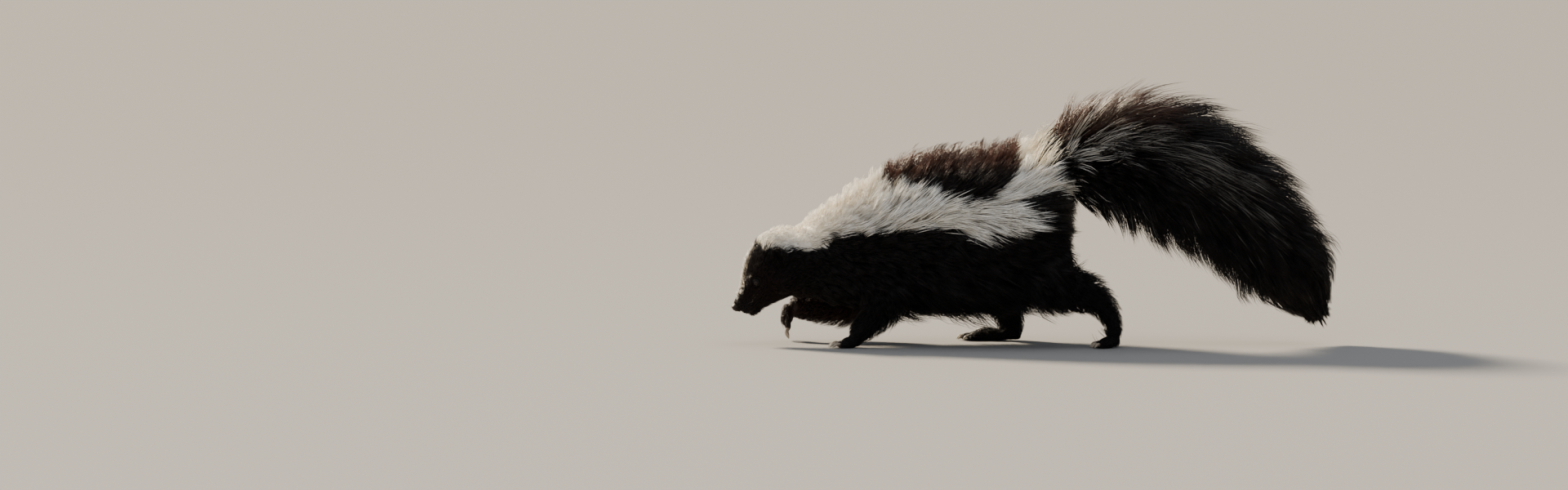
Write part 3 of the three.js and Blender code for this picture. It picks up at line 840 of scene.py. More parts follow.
# share of each kind of coat at each point, the way its hair lies, and its sizes
def placesOf(points):
    count = len(points)
    local = toHead(points)
    headT, rows = headRows(local[:, 0])
    _, top, bottom, side, middle = rows.T
    high = local[:, 2] - middle
    around = np.hypot(local[:, 1] / side, high / np.where(high > 0, top - middle, middle - bottom))
    inHead = (1 - ease(local[:, 0], *lie["headBack"])) * (1 - ease(around, *lie["headAround"]))
    inHead *= ease(local[:, 0], *lie["headFront"])
    fromMuzzle = np.linalg.norm(local - np.array(lie["muzzle"]), axis=1)
    inHead = np.maximum(inHead, 1 - ease(fromMuzzle, *lie["muzzleReach"]))
    t, angle, coat = trunkPlace(points)
    s = np.sin(angle)
    depth = coat * trunk["skinDepth"] * (0.8 + 0.2 * s)

    levels = len(lie["levels"])
    atLevels = np.array([lineAt(points[:, 0], lie["ways"], k + 1) for k in range(levels)])
    place = np.interp(points[:, 2], lie["levels"], np.arange(levels))
    level = np.minimum(place.astype(int), levels - 2)
    over = place - level
    pick = np.arange(count)
    slope = np.radians(atLevels[level, pick] * (1 - over) + atLevels[level + 1, pick] * over)
    flow = np.stack([np.cos(slope), np.zeros(count), np.sin(slope)], 1)
    shares = {"trunk": np.ones(count)}
    onTop = ease(s, 0.25, 0.8)
    height = depth * (1 + (lie["backHeight"] - 1) * onTop)
    flank, back = lie["lengthOfHeight"]
    length = (flank + (back - flank) * onTop) * depth
    length = np.where(s < -0.5, np.maximum(length, lie["bellyLength"] * (1 - t)), length)
    density = np.full(count, lie["density"]["trunk"])
    x = points[:, 0]
    stand = ease(s, 0.5, 0.85) * ease(x, *lie["tuftX"][:2]) * (1 - ease(x, *lie["tuftX"][2:]))
    height = height * (1 + lie["tuftStand"] * stand)
    length = length * (1 + lie["tuftStand"] * stand)
    fringe = ease(-s, 0.3, 0.75) * ease(x, -0.19, -0.15) * (1 - 0.6 * ease(x, -0.03, 0.0))
    rear = ease(x, *lie["rearX"]) * (1 - ease(points[:, 2], *lie["rearZ"]))
    length = length * (1 - rear) + np.minimum(length, lie["rearLength"]) * rear

    def lay(weight, way, tall, long, dense):
        nonlocal flow, height, length, density
        w = weight[:, None]
        flow = flow * (1 - w) + way * w
        height = height * (1 - weight) + tall * weight
        length = length * (1 - weight) + long * weight
        density = density * (1 - weight) + dense * weight

    for name, joints in legs.items():
        away, at = legPlace(points, joints)
        pawWay = unit(np.array(pawSpace(name))[:3, :3] @ np.array([-1, 0, -0.12]))
        atPaw = ease(at, *lie["wrist"])[:, None]
        ahead = (legFrame(joints, at)[1] + np.array([0.22, 0, -0.1])) * (1 - atPaw) + pawWay * atPaw
        inLeg = (1 - ease(away, *lie["legAround"])) * ease(at, *lie["legAlong"])
        inset = legInset(at)
        lay(inLeg, unit(ahead), inset * 1.05, inset * 2.1 + 0.0022, lie["density"]["leg"])
        p = inSpace(points, pawSpace(name).inverted())
        _, _, _, tall, long, wide, heel, _, _ = paws[name]
        inPaw = 1 - ease(np.abs(p[:, 1]), wide * 0.62, wide * 0.85)
        inPaw *= ease(p[:, 0], -long - 0.014, -long - 0.01)
        inPaw *= (1 - ease(p[:, 0], heel, heel + 0.005)) * (1 - ease(p[:, 2], -0.002, 0.003))
        inPaw *= ease(p[:, 2], -tall - 0.004, -tall - 0.002)
        row, _, _, deep = legFrame(joints, at)
        behind = -((points - row[:, :3]) * deep).sum(1) / row[:, 3]
        hem = 0.5 * ease(behind, 0.2, 0.7) * ease(at, 0.1, 0.4) * (1 - ease(at, 0.6, 0.85))
        fringe = fringe * (1 - inLeg) + hem * inLeg
        lay(inPaw, pawWay, lie["pawHeight"], lie["pawLength"], lie["density"]["paw"])
        shares[name] = np.maximum(inLeg, inPaw)
        shares[name + "Paw"] = inPaw
    low = ease(-high, 0.0, 0.02)[:, None]
    way = np.array([1, 0, 0.05]) * (1 - low) + np.array([1, 0, -0.35]) * low
    share = np.clip(local[:, 0] / 0.09, 0, 1)
    faceShare = 1 - ease(local[:, 0], 0.03, 0.07)
    lay(
        inHead,
        unit(way @ headTurn.T),
        headDepth(headT) * 1.1,
        lie["faceLength"] + (lie["napeLength"] - lie["faceLength"]) * share**1.3,
        lie["density"]["head"] + (lie["density"]["face"] - lie["density"]["head"]) * faceShare,
    )
    shares["head"] = inHead
    underChin = inHead * ease(-high, 0.002, 0.010) * (1 - ease(local[:, 0], 0.025, 0.04))
    length = length * (1 - 0.45 * underChin)
    height = height + markings["blazeRise"] * (blazeOf(points) > 0)
    for eyeSide in (-1, 1):  # short hair parts round each eye
        away = local - eyePlace(eyeSide)
        gap = np.linalg.norm(away, axis=1)
        weight = 0.7 * (1 - ease(gap, *lie["eyeReach"]))
        way = unit(away @ headTurn.T)
        lay(weight, way, lie["eyeHeight"], lie["faceLength"], lie["density"]["eye"])
    inEar = np.zeros(count)
    for earSide in (-1, 1):
        weight = 1 - ease(earDistance(points, earSide), *lie["earReach"])
        way = np.array(headSpace @ earSpace(earSide))[:3, :3] @ np.array([-0.35, 0, 1])
        lay(weight, unit(way), lie["earHeight"], lie["earLength"], lie["density"]["ear"])
        inEar = np.maximum(inEar, weight)
    shares["ear"] = inEar
    away, at = tailPlace(points)
    inTail = (1 - ease(away, *lie["tailReach"])) * ease(points[:, 0], *lie["tailX"])
    shares["tail"] = inTail
    density = density * (1 - inTail)
    fringe = fringe * (1 - np.maximum(inHead, inTail))
    return shares, flow, height, length, density, fringe


bareReach = {"nose": (0.0044, 0.0052), "lids": (0.0041, 0.0047), "lips": (0.0004, 0.0010)}


def bareness(points):  # lids, nose, mouth and soles, which carry no hair
    local = toHead(points)
    bare = 1 - ease(np.linalg.norm(local - np.array([0.0005, 0, 0]), axis=1), *bareReach["nose"])
    for side in (-1, 1):
        gap = np.linalg.norm(local - eyePlace(side), axis=1)
        bare = np.maximum(bare, 1 - ease(gap, *bareReach["lids"]))
    line = np.array(face["mouth"])
    away = np.abs(local[:, 2] - lineAt(local[:, 0], line))
    mouth = 1 - ease(away, *bareReach["lips"])
    mouth *= (local[:, 0] < line[-1, 0]) * (np.abs(local[:, 1]) < 0.03)
    bare = np.maximum(bare, mouth * (local[:, 0] > -0.002))
    for name in paws:
        p = inSpace(points, pawSpace(name).inverted())
        _, _, _, tall, long, wide, heel, _, _ = paws[name]
        under = 1 - ease(p[:, 2], -tall + 0.0012, -tall + 0.0026)
        under *= ease(p[:, 2], -tall - 0.003, -tall - 0.002)
        inside = (np.abs(p[:, 1]) < wide * 0.8) * (p[:, 0] > -long - 0.012) * (p[:, 0] < heel + 0.004)
        bare = np.maximum(bare, under * inside)
    return bare


# Markings, the same for skin and coat

markings = {
    # lower edge of the white, from the forehead over the shoulder to the tail: x and z on the flank
    "lowerEdge": (
        (-0.297, 0.1390),
        (-0.288, 0.1170),
        (-0.279, 0.1070),
        (-0.262, 0.1045),
        (-0.222, 0.1025),
        (-0.216, 0.1120),
        (-0.200, 0.1195),
        (-0.136, 0.1258),
        (-0.094, 0.1258),
        (-0.069, 0.1195),
        (-0.0565, 0.1110),
        (-0.031, 0.1080),
        (-0.014, 0.1150),
        (0.006, 0.1250),
        (0.022, 0.1330),
        (0.030, 0.1560),
        (0.046, 0.1500),
        (0.068, 0.1480),
    ),
    # upper edge of each side stripe, where the dark back begins
    "upperEdge": (
        (-0.162, 0.1960),
        (-0.148, 0.1790),
        (-0.126, 0.1740),
        (-0.097, 0.1690),
        (-0.080, 0.1645),
        (-0.070, 0.1585),
        (-0.046, 0.1565),
        (-0.029, 0.1640),
        (-0.019, 0.1768),
        (-0.0125, 0.1890),
        (-0.0115, 0.2100),
        (-0.0105, 0.2500),
    ),
    # top of the white where it runs out over the root of the tail, and the dark wedge under it
    "fanTop": ((0.0285, 0.260), (0.0315, 0.1960), (0.0400, 0.1800), (0.052, 0.1680), (0.070, 0.1520)),
    "wedge": (
        (-0.004, 0.154, 0.000),
        (0.008, 0.153, 0.009),
        (0.0217, 0.150, 0.015),
        (0.0285, 0.147, 0.019),
        (0.044, 0.131, 0.023),
        (0.056, 0.121, 0.025),
        (0.070, 0.110, 0.030),
    ),
    "brownAndGlow": (0.010, 0.028),  # how far under the line of the back its hair turns from brown with a painted sunlit glow to black
    "sunlitCream": (0.002, 0.026),  # how far under the same line the white is painted cream as sunlit
    "skinShift": 0.008,  # how much further back the skin's markings lie than the coat's
    "edgeSpread": 0.0032,
    "whiteEnd": (0.055, 0.075),
    "blazeHalf": 0.0033,
    "blazeSide": -0.0032,  # the blaze lies a little to the animal's left
    "blazeRise": 0.0015,
    "blazeFrom": 0.006,
    "blazeTo": 0.066,
    "earDark": (1.35, 1.8),  # radii of an ear over which the white gives way
    # brown in the black: on the face, as a painted sunlit rim on the raised far foreleg, and everywhere
    "faceBrown": 0.12,
    "raisedLegGlow": 0.34,
    "leastBrown": 0.02,
}


def sideWhite(points):  # how far inside the white a place lies, in metres, as seen from the side
    x, z = points[:, 0], points[:, 2]
    lower = np.array(markings["lowerEdge"])
    upper = np.array(markings["upperEdge"])
    above = z - lineAt(x, lower)
    below = lineAt(x, upper) - z
    inside = np.where((x > upper[0, 0]) & (x < upper[-1, 0]), np.minimum(above, below), above)
    inside = np.where(x < lower[0, 0], -0.01, inside)
    fan, wedge = np.array(markings["fanTop"]), np.array(markings["wedge"])
    inside = np.where(x > fan[0, 0], np.minimum(inside, lineAt(x, fan) - z), inside)
    outside = np.abs(z - lineAt(x, wedge)) - lineAt(x, wedge, 2)
    return np.where(x > wedge[0, 0], np.minimum(inside, outside), inside)


def underBack(points):  # how far a place lies under the line of the back
    return lineAt(points[:, 0], trunk["stations"]) - points[:, 2]


# brown share along the top of the dark back: brown hair tips, brightened to rust as a painted glow of
# backlight through the hair
def backTopGlow(points):
    x, z = points[:, 0], points[:, 2]
    above = z - lineAt(x, markings["upperEdge"])
    back = ease(above, -0.004, 0.006) * ease(x, -0.168, -0.155) * (1 - ease(x, -0.006, 0.006))
    return back * (1 - 0.95 * ease(underBack(points), *markings["brownAndGlow"]))


def creamOfSunAndTuft(points):  # painted warm sunlight on the white along the top, and the cream tuft over the root of the tail
    x, z = points[:, 0], points[:, 2]
    # painted sunlight: the white along the top turns cream
    along = 0.45 * (1 - ease(underBack(points), *markings["sunlitCream"])) * (1 - ease(x, 0.0, 0.02))
    tuft = ease(x, -0.008, 0.002) * ease(z, 0.19, 0.215) * (1 - ease(x, 0.03, 0.036))
    return np.maximum(along, 0.9 * tuft)


def blazeOf(points):
    local = toHead(points)
    t, rows = headRows(local[:, 0])
    up = ease(local[:, 2] - rows[:, 4], 0.004, 0.008)
    ends = ease(local[:, 0], markings["blazeFrom"], markings["blazeFrom"] + 0.006)
    ends *= 1 - ease(local[:, 0], markings["blazeTo"], markings["blazeTo"] + 0.01)
    return markings["blazeHalf"] - np.abs(local[:, 1] - markings["blazeSide"]) - 0.01 * (1 - up * ends)


def earDistance(points, side):  # from the middle of an ear, in its own radii
    local = inSpace(points, (headSpace @ earSpace(side)).inverted())
    return np.linalg.norm(local / np.array(ears["radii"]), axis=1)


def markOf(points, spread, draw):  # white and brown of each place; draw is 0 for the even skin
    edge = sideWhite(points) + draw * spread
    blaze = blazeOf(points) + draw * 0.0005
    fade = 1 - ease(points[:, 0] + draw * 0.014, *markings["whiteEnd"])
    white = np.maximum(ease(edge, -0.001, 0.001) * fade, ease(blaze, -0.0003, 0.0003))
    local = toHead(points)
    for side in (-1, 1):
        white = white * ease(earDistance(points, side), *markings["earDark"])
    onFace = (1 - ease(local[:, 0], 0.05, 0.08)) * (np.abs(local[:, 1]) < 0.04)
    # painted rim light: the raised far foreleg's hair turned brown as if lit by the low sun
    farLegLit = ease(points[:, 1], 0.01, 0.03) * (1 - ease(points[:, 2], 0.05, 0.09))
    farLegLit = farLegLit * (1 - ease(points[:, 0], -0.16, -0.12))
    brown = np.maximum(backTopGlow(points), markings["faceBrown"] * onFace)
    brown = np.maximum(brown, np.maximum(markings["raisedLegGlow"] * farLegLit, markings["leastBrown"]))
    # the brown share also carries cream on the white: painted sunlight along the top, and the tuft
    return white, np.maximum(brown, creamOfSunAndTuft(points) * white)


def addShare(mesh, name, values):
    mesh.attributes.new(name, "FLOAT", "POINT").data.foreach_set("value", np.asarray(values, np.float32))


def addMark(mesh, white, brown, share, draw):
    layer = mesh.attributes.new("mark", "FLOAT_COLOR", "POINT")
    layer.data.foreach_set("color", np.stack([white, brown, share, draw], 1).astype(np.float32).ravel())


# Finishes

finish = {
    "blackRoot": (0.0020, 0.0017, 0.0017),
    "blackTip": (0.0048, 0.0038, 0.0036),
    # rust-brown of the hair tips: real brown, raised to the painted glow of backlit hair
    "glowAndBrownTip": (0.1700, 0.0560, 0.0290),
    # white at the root of a hair, darkened as painted shade deep in the coat
    "shadedWhiteRoot": (0.72, 0.68, 0.61),
    "whiteTip": (0.98, 0.97, 0.93),
    "cream": (0.94, 0.83, 0.62),
    "pad": (0.026, 0.016, 0.013),
    "noseSkin": (0.016, 0.0075, 0.0065),
    "noseEdge": (0.007, 0.005, 0.0045),
    "lidSkin": (0.0050, 0.0034, 0.0030),
    "lidRim": (0.0024, 0.0018, 0.0016),
    "eyeRim": (0.0030, 0.0020, 0.0016),
    "pupil": (0.0015, 0.0012, 0.0012),
    "iris": (0.012, 0.005, 0.0025),
    "irisFleck": (0.020, 0.009, 0.0045),
    "clawRoot": (0.16, 0.12, 0.085),
    "clawTip": (0.46, 0.39, 0.30),
    "shade": (0.80, 1.14),  # darkest and lightest hair
    "hairRoughness": (0.40, 0.62),  # black and white
    "skinRoughness": (0.45, 0.75),
    "skinShine": 0.14,
    "hairShine": 0.26,
    "eyeRoughness": (0.07, 0.11),
    "eyeShine": 0.24,
}


class Nodes:  # short way to build a material's nodes
    def __init__(self, name):
        self.material = bpy.data.materials.new(name)
        self.material.use_nodes = True
        self.tree = self.material.node_tree
        self.shader = self.tree.nodes["Principled BSDF"]

    def add(self, kind, settings=(), **inputs):
        node = self.tree.nodes.new("ShaderNode" + kind)
        for key, value in dict(settings).items():
            setattr(node, key, value)
        for key, value in inputs.items():
            self.put(node, key, value)
        return node

    def put(self, node, key, value):
        if node.bl_idname == "ShaderNodeMix":
            key = {"A": 6, "B": 7, "Factor": 0}[key]
        socket = node.inputs[key.replace("_", " ") if isinstance(key, str) else key]
        if isinstance(value, bpy.types.NodeSocket):
            self.tree.links.new(value, socket)
        elif isinstance(value, tuple) and socket.type == "RGBA":
            socket.default_value = (*value, 1)
        else:
            socket.default_value = value

    def mix(self, share, a, b):
        node = self.add("Mix", {"data_type": "RGBA"}, A=a, B=b)
        self.put(node, "Factor", share)
        return node.outputs[2]

    def range(self, value, low, high, a, b):
        node = self.add("MapRange", {}, Value=value, From_Min=low, From_Max=high, To_Min=a, To_Max=b)
        return node.outputs[0]

    def times(self, a, b):
        node = self.add("Math", {"operation": "MULTIPLY"})
        self.put(node, 0, a)
        self.put(node, 1, b)
        return node.outputs[0]

    def noise(self, scale, detail=3.0, stretch=(1, 1, 1)):
        place = self.add("TexCoord").outputs["Object"]
        place = self.add("Mapping", {}, Vector=place, Scale=stretch).outputs[0]
        return self.add("TexNoise", {}, Vector=place, Scale=scale, Detail=detail).outputs[0]

    def bump(self, height, strength, distance):
        node = self.add("Bump", {}, Height=height, Strength=strength, Distance=distance)
        self.put(self.shader, "Normal", node.outputs[0])


def coatFinish(name, short):  # hair, or the skin under it with its shortest hair as bump
    n = Nodes(name)
    mark = n.add("Attribute", {"attribute_name": "mark"})
    parts = n.add("SeparateColor", {}, Color=mark.outputs["Color"])
    white, brown, along = parts.outputs
    draw = mark.outputs["Alpha"]
    tip = n.range(along, 0.15, 0.85, 0.0, 1.0)
    patch = n.noise(38.0)
    dark = n.mix(tip, finish["blackRoot"], finish["blackTip"])
    # brown tips: real brown, and a painted sunlit glow where the share comes from the top of the back,
    # the far foreleg and the top of the tail's root
    brownAndGlow = n.times(n.range(along, 0.25, 1.0, 0.1, 1.0), brown)
    patched = n.times(brownAndGlow, n.range(patch, 0.3, 0.7, 0.55, 1.0))
    dark = n.mix(patched, dark, finish["glowAndBrownTip"])
    # white hair darkens towards its root as painted shade between the hairs
    pale = n.mix(tip, finish["shadedWhiteRoot"], finish["whiteTip"])
    pale = n.mix(n.range(patch, 0.4, 0.75, 0.0, 0.35), pale, finish["cream"])
    # the brown share turns the white cream: the tuft's own cream, and painted warm sunlight along the
    # top
    pale = n.mix(brown, pale, finish["cream"])
    color = n.mix(white, dark, pale)
    value = n.range(draw, 0.0, 1.0, *finish["shade"])
    shade = n.add("HueSaturation", {}, Value=value, Color=color)
    color = shade.outputs[0]
    rough = n.range(white, 0.0, 1.0, *finish["hairRoughness"])
    if short:
        bare = n.add("Attribute", {"attribute_name": "bare"}).outputs["Fac"]
        color = n.mix(bare, color, finish["pad"])
        fine = n.noise(900.0, 4.0, (0.35, 1.0, 1.0))
        n.bump(fine, 0.5, 0.0006)
        rough = n.range(fine, 0.3, 0.7, *finish["skinRoughness"])
    n.put(n.shader, "Base Color", color)
    n.put(n.shader, "Roughness", rough)
    n.put(n.shader, "Specular IOR Level", finish["skinShine" if short else "hairShine"])
    return n.material


skinFinish = coatFinish("skinFinish", True)
hairFinish = coatFinish("hairFinish", False)

skinPoints = pointsOf(skinShape)
shares, flowField, heightField, lengthField, densityField, fringeField = placesOf(skinPoints)
skinNormals = normalsOf(skinShape)
bareField = bareness(skinPoints)
whiteSkin, brownSkin = markOf(skinPoints - np.array([markings["skinShift"], 0, 0]), 0, 0)
addMark(skinShape, whiteSkin, brownSkin, np.zeros(len(skinPoints)), np.full(len(skinPoints), 0.5))
addShare(skinShape, "bare", bareField)
skin = addPiece("skin", skinShape, skinFinish)
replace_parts(skin, *(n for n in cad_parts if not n.startswith(("eye", "nose"))))
print("skin marked")


# Coat: solid tapered hairs in tufts

coat = {
    "sunk": 0.0006,  # how deep a hair's root sits in the skin
    "cling": 0.55,  # how closely long hair follows the form under it
    "width": (0.00038, 0.0125),  # of a hair: least, and share of its length
    "flat": 0.6,
    "floorGap": 0.0012,  # the least height of a hair over the floor
    "spikes": (0.24, 0.85),  # share of the tufts of the back that stand out, and how much higher
    "taperAt": (0.0, 0.3, 0.6, 1.0),
    "taper": (0.80, 1.0, 0.80, 0.25),  # width along a hair, as a share of its widest
    "patch": 0.003,  # of a tuft in the OFBake map
}


def treeOf(points):
    tree = kdtree.KDTree(len(points))
    for i, p in enumerate(points.tolist()):
        tree.insert(p, i)
    tree.balance()
    return tree


skinTree = treeOf(skinPoints)
skinShape.calc_loop_triangles()
skinTriangles = valuesOf(skinShape.loop_triangles, "vertices", 3, np.int32)
corners = skinPoints[skinTriangles]
across = np.cross(corners[:, 1] - corners[:, 0], corners[:, 2] - corners[:, 0])
skinAreas = np.linalg.norm(across, axis=1) / 2

edges = edgesOf(skinShape)
flowField = evened(flowField, edges, 0.5, lie["evening"])
sizes = evened(np.stack([heightField, lengthField, fringeField], 1), edges, 0.5, lie["evening"])
heightField, lengthField, fringeField = sizes.T


def nearest(tree, points):
    return np.array([tree.find(p)[1] for p in points.tolist()])


def flattened(way, normal):  # the part of a direction that lies in the surface
    return unit(way - normal * (way * normal).sum(1, keepdims=True))


def turned(way, axis, angle):
    angle = angle[:, None]
    return way * np.cos(angle) + np.cross(axis, way) * np.sin(angle)


def sampleRoots(count, dense, rng):
    chance = skinAreas * dense[skinTriangles].mean(1)
    chosen = skinTriangles[rng.choice(len(skinAreas), count, p=chance / chance.sum())]
    u, v = rng.random((2, count))
    over = u + v > 1
    u[over], v[over] = 1 - u[over], 1 - v[over]
    weight = np.stack([1 - u - v, u, v], 1)
    fields = np.column_stack([skinPoints, skinNormals, flowField, heightField, lengthField, fringeField])
    found = (fields[chosen] * weight[:, :, None]).sum(1)
    normal = unit(found[:, 3:6])
    return {
        "root": found[:, :3],
        "normal": normal,
        "flow": flattened(found[:, 6:9], normal),
        "height": found[:, 9],
        "length": found[:, 10],
        "fringe": found[:, 11],
    }


def tuftsOf(roots, size, rng):  # the tuft that each hair belongs to
    heads = rng.choice(len(roots), max(1, len(roots) // size), replace=False)
    return heads, nearest(treeOf(roots[heads]), roots)


def varied(rng, tuft, tufts, byTuft, byHair):  # differs by tuft, and a little by hair
    return rng.normal(0, byTuft, tufts)[tuft] + rng.normal(0, byHair, len(tuft))


# hairs drawn towards the one that leads their tuft, more and more to the tip, and kept off the floor
def gathered(path, lead, pulled, power, gap):
    draw = pulled[:, None] * np.linspace(0, 1, path.shape[1])[None] ** power
    path = path + (lead - path) * draw[..., None]
    path[:, :, 2] = np.maximum(path[:, :, 2], gap)
    return path


def growHair(hair, steps, rng, tuftSize, pull, wild):
    roots, normal, flow = hair["root"], hair["normal"], hair["flow"]
    heads, tuft = tuftsOf(roots, tuftSize, rng)
    count, tufts = len(roots), len(heads)
    turn = varied(rng, tuft, tufts, 0.20 * wild, 0.09).clip(-0.7, 0.7)
    flow = turned(flow, normal, turn)
    standing = ease(hair["height"] / hair["length"], 0.4, 0.5)
    ruffle = 0.12 + 0.2 * standing
    uneven = rng.normal(0, 0.20 * wild, tufts)[tuft] + rng.normal(0, 1, count) * ruffle
    crest = ease(normal[:, 2], 0.35, 0.8) * ease(hair["height"], 0.003, 0.006)
    spiked = crest * (rng.random(tufts) < coat["spikes"][0])[tuft]
    height = hair["height"] * (1 + uneven + coat["spikes"][1] * spiked).clip(0.3, 2.0)
    longer = 1 + rng.normal(0, 0.12, tufts)[tuft] + rng.normal(0, 0.10, count)
    length = hair["length"] * longer.clip(0.5, 1.4)
    least, spread = lie["fringe"]
    hanging = np.abs(rng.normal(0, 0.7, tufts)).clip(0, 1.5)[tuft]
    hang = 1 + hair["fringe"] * (least + spread * hanging)
    length = length * (0.45 + 0.55 * hang)
    height = np.minimum(height * hang, 0.9 * length)
    path = [roots - normal * coat["sunk"]]
    foot, up = roots.copy(), normal
    for k in range(1, steps + 1):
        share = k / steps
        foot = foot + flow * (np.sqrt(np.maximum(length**2 - height**2, 0)) / steps)[:, None]
        near = nearest(skinTree, foot)
        agree = np.clip((up * skinNormals[near]).sum(1) * 1.6 - 0.6, 0, 1)
        cling = coat["cling"] * agree * (1 - 0.6 * hair["fringe"]) * (1 - 0.7 * standing)
        drop = ((foot - skinPoints[near]) * skinNormals[near]).sum(1)
        foot = foot - skinNormals[near] * (drop * cling)[:, None]
        cling = cling[:, None]
        up = unit(up * (1 - cling) + skinNormals[near] * cling)
        flow = flattened(flow + 0.25 * agree[:, None] * flowField[near], up)
        path.append(foot + up * (height * (1 - (1 - share) ** 1.8))[:, None])
    path = np.stack(path, 1)
    lead = path[heads][tuft]
    pulled = pull * (0.6 + 0.4 * rng.random(tufts))[tuft] * (1 + 0.6 * spiked)
    return gathered(path, lead, pulled, 1.3, coat["floorGap"]), tuft


def hairMesh(name, path, normal, width, white, brown, draw, place):
    count, stops, _ = path.shape
    rings = stops - 1
    ahead = unit(np.gradient(path, axis=1))
    side = unit(np.cross(ahead, normal[:, None]))
    deep = np.cross(side, ahead)
    taper = np.interp(np.arange(rings) / rings, coat["taperAt"], coat["taper"])
    turn = np.radians([90, 210, 330])
    w = (width[:, None] * taper)[:, :, None, None] / 2
    wide, tall = np.cos(turn)[:, None], np.sin(turn)[:, None]
    ring = path[:, :rings, None] + w * (
        side[:, :rings, None] * wide + coat["flat"] * deep[:, :rings, None] * tall
    )
    points = np.concatenate([ring.reshape(count, rings * 3, 3), path[:, -1:]], 1)
    one = [(0, 2, 1)]
    for k in range(rings - 1):
        for i in range(3):
            a, b = k * 3 + i, k * 3 + (i + 1) % 3
            one += [(a, b, b + 3), (a, b + 3, a + 3)]
    tip = rings * 3
    one += [(tip - 3 + i, tip - 3 + (i + 1) % 3, tip) for i in range(3)]
    one = np.array(one)
    perHair = tip + 1
    faces = (one[None] + (np.arange(count) * perHair)[:, None, None]).reshape(-1, 3)
    mesh = bpy.data.meshes.new(name)
    mesh.vertices.add(count * perHair)
    mesh.vertices.foreach_set("co", points.ravel())
    mesh.loops.add(faces.size)
    mesh.loops.foreach_set("vertex_index", faces.ravel())
    mesh.polygons.add(len(faces))
    mesh.polygons.foreach_set("loop_start", np.arange(0, faces.size, 3))
    mesh.polygons.foreach_set("loop_total", np.full(len(faces), 3))
    mesh.update(calc_edges=True)
    along = np.append(np.repeat(np.arange(rings) / (stops - 1), 3), 1.0)
    white, brown, draw = (np.repeat(values, perHair) for values in (white, brown, draw))
    addMark(mesh, white, brown, np.tile(along, count), draw)
    across = np.append(np.tile([0.5, 0.0, 1.0], rings), 0.5)
    patch = np.stack([across - 0.5, along - 0.5], 1) * coat["patch"]
    spots = (place[:, None] + patch[None]).reshape(-1, 2)
    layer = mesh.uv_layers.new(name="OFBake")
    layer.data.foreach_set("uv", spots[faces.ravel()].astype(np.float32).ravel())
    return mesh


# the skin's own shape laid flat: trunk and tail as wide bands, head and legs beside them
flatPlaces = {
    "trunk": (0.01, 0.01, 0.62, 0.56),
    "tail": (0.01, 0.60, 0.62, 0.38),
    "head": (0.66, 0.01, 0.33, 0.33),
    "forelegLeft": (0.66, 0.37, 0.155, 0.29),
    "forelegRight": (0.835, 0.37, 0.155, 0.29),
    "hindlegLeft": (0.66, 0.69, 0.155, 0.29),
    "hindlegRight": (0.835, 0.69, 0.155, 0.29),
}


def laidFlat(band, along, angle):
    u, v, wide, tall = flatPlaces[band]
    return np.stack([u + wide * np.clip(along, 0, 1), v + tall * ((angle / (2 * math.pi)) % 1)], 1)


def placeInMap(points):
    t, angle, _ = trunkPlace(points)
    place = laidFlat("trunk", t, angle)
    for name, joints in legs.items():
        away, at = legPlace(points, joints)
        row, _, wide, deep = legFrame(joints, at)
        d = points - row[:, :3]
        turn = np.arctan2((d * wide).sum(1), (d * deep).sum(1))
        inLeg = (away < 1.3) & (at > 0.15)
        place[inLeg] = laidFlat(name, at, turn)[inLeg]
    local = toHead(points)
    t, rows = headRows(local[:, 0])
    inHead = (local[:, 0] < 0.08) & (np.abs(local[:, 1]) < 0.045) & (np.abs(local[:, 2]) < 0.05)
    place[inHead] = laidFlat("head", t, np.arctan2(local[:, 2] - rows[:, 4], local[:, 1]))[inHead]
    return place


coatPieces = {
    # name: hairs, steps, hairs to a tuft, pull, wildness, seed
    "long": (37500, 3, 11, 0.5, 1.1, 11),
    "leg": (13500, 2, 7, 0.45, 0.8, 12),
    "head": (17500, 2, 6, 0.25, 0.35, 13),
    "feet": (5600, 2, 5, 0.3, 0.5, 14),
}


def widthOf(length):
    return coat["width"][0] + coat["width"][1] * length


def addHair(name, path, hair, width, white, brown, draw):
    mesh = hairMesh(name, path, hair["normal"], width, white, brown, draw, placeInMap(hair["root"]))
    addPiece(name, mesh, hairFinish)


def growKind(kind, dense):
    count, steps, tuftSize, pull, wild, seed = coatPieces[kind]
    rng = np.random.default_rng(seed)
    hair = sampleRoots(count, dense * (1 - bareField), rng)
    path, tuft = growHair(hair, steps, rng, tuftSize, pull, wild)
    draw = rng.normal(0, 1, tuft.max() + 1)[tuft] * 0.75 + rng.normal(0, 0.6, count)
    middle = path[:, steps // 2 + 1] * 0.6 + path[:, -1] * 0.4
    white, brown = markOf(middle, markings["edgeSpread"], draw)
    white = (white > rng.random(count)).astype(float)
    shade = rng.random(count)
    return hair, path, widthOf(hair["length"]), white, brown, shade


def addKind(kind, dense, cuts):
    hair, path, width, white, brown, shade = growKind(kind, dense)
    x = hair["root"][:, 0]
    for name, low, high in cuts:
        pick = (x >= low) & (x < high)
        part = {key: value[pick] for key, value in hair.items()}
        addHair(name, path[pick], part, width[pick], white[pick], brown[pick], shade[pick])


inPaws = np.maximum.reduce([shares[name + "Paw"] for name in paws])
inLegs = np.maximum.reduce([shares[name] for name in legs]) * (1 - inPaws)
inHeadEar = np.maximum(shares["head"], shares["ear"])
addKind("feet", densityField * inPaws, (("coatFeet", -1, 1),))
addKind("head", densityField * inHeadEar, (("coatHead", -1, 1),))
addKind("leg", densityField * inLegs, (("coatLegs", -1, 1),))
addKind(
    "long",
    densityField * (1 - inPaws) * (1 - inLegs) * (1 - inHeadEar),
    (
        ("coatNeck", -1, -0.160),
        ("coatShoulders", -0.160, -0.095),
        ("coatBack", -0.095, -0.025),
        ("coatRump", -0.025, 1),
    ),
)
print("short and body coat grown")


# Plume of the tail

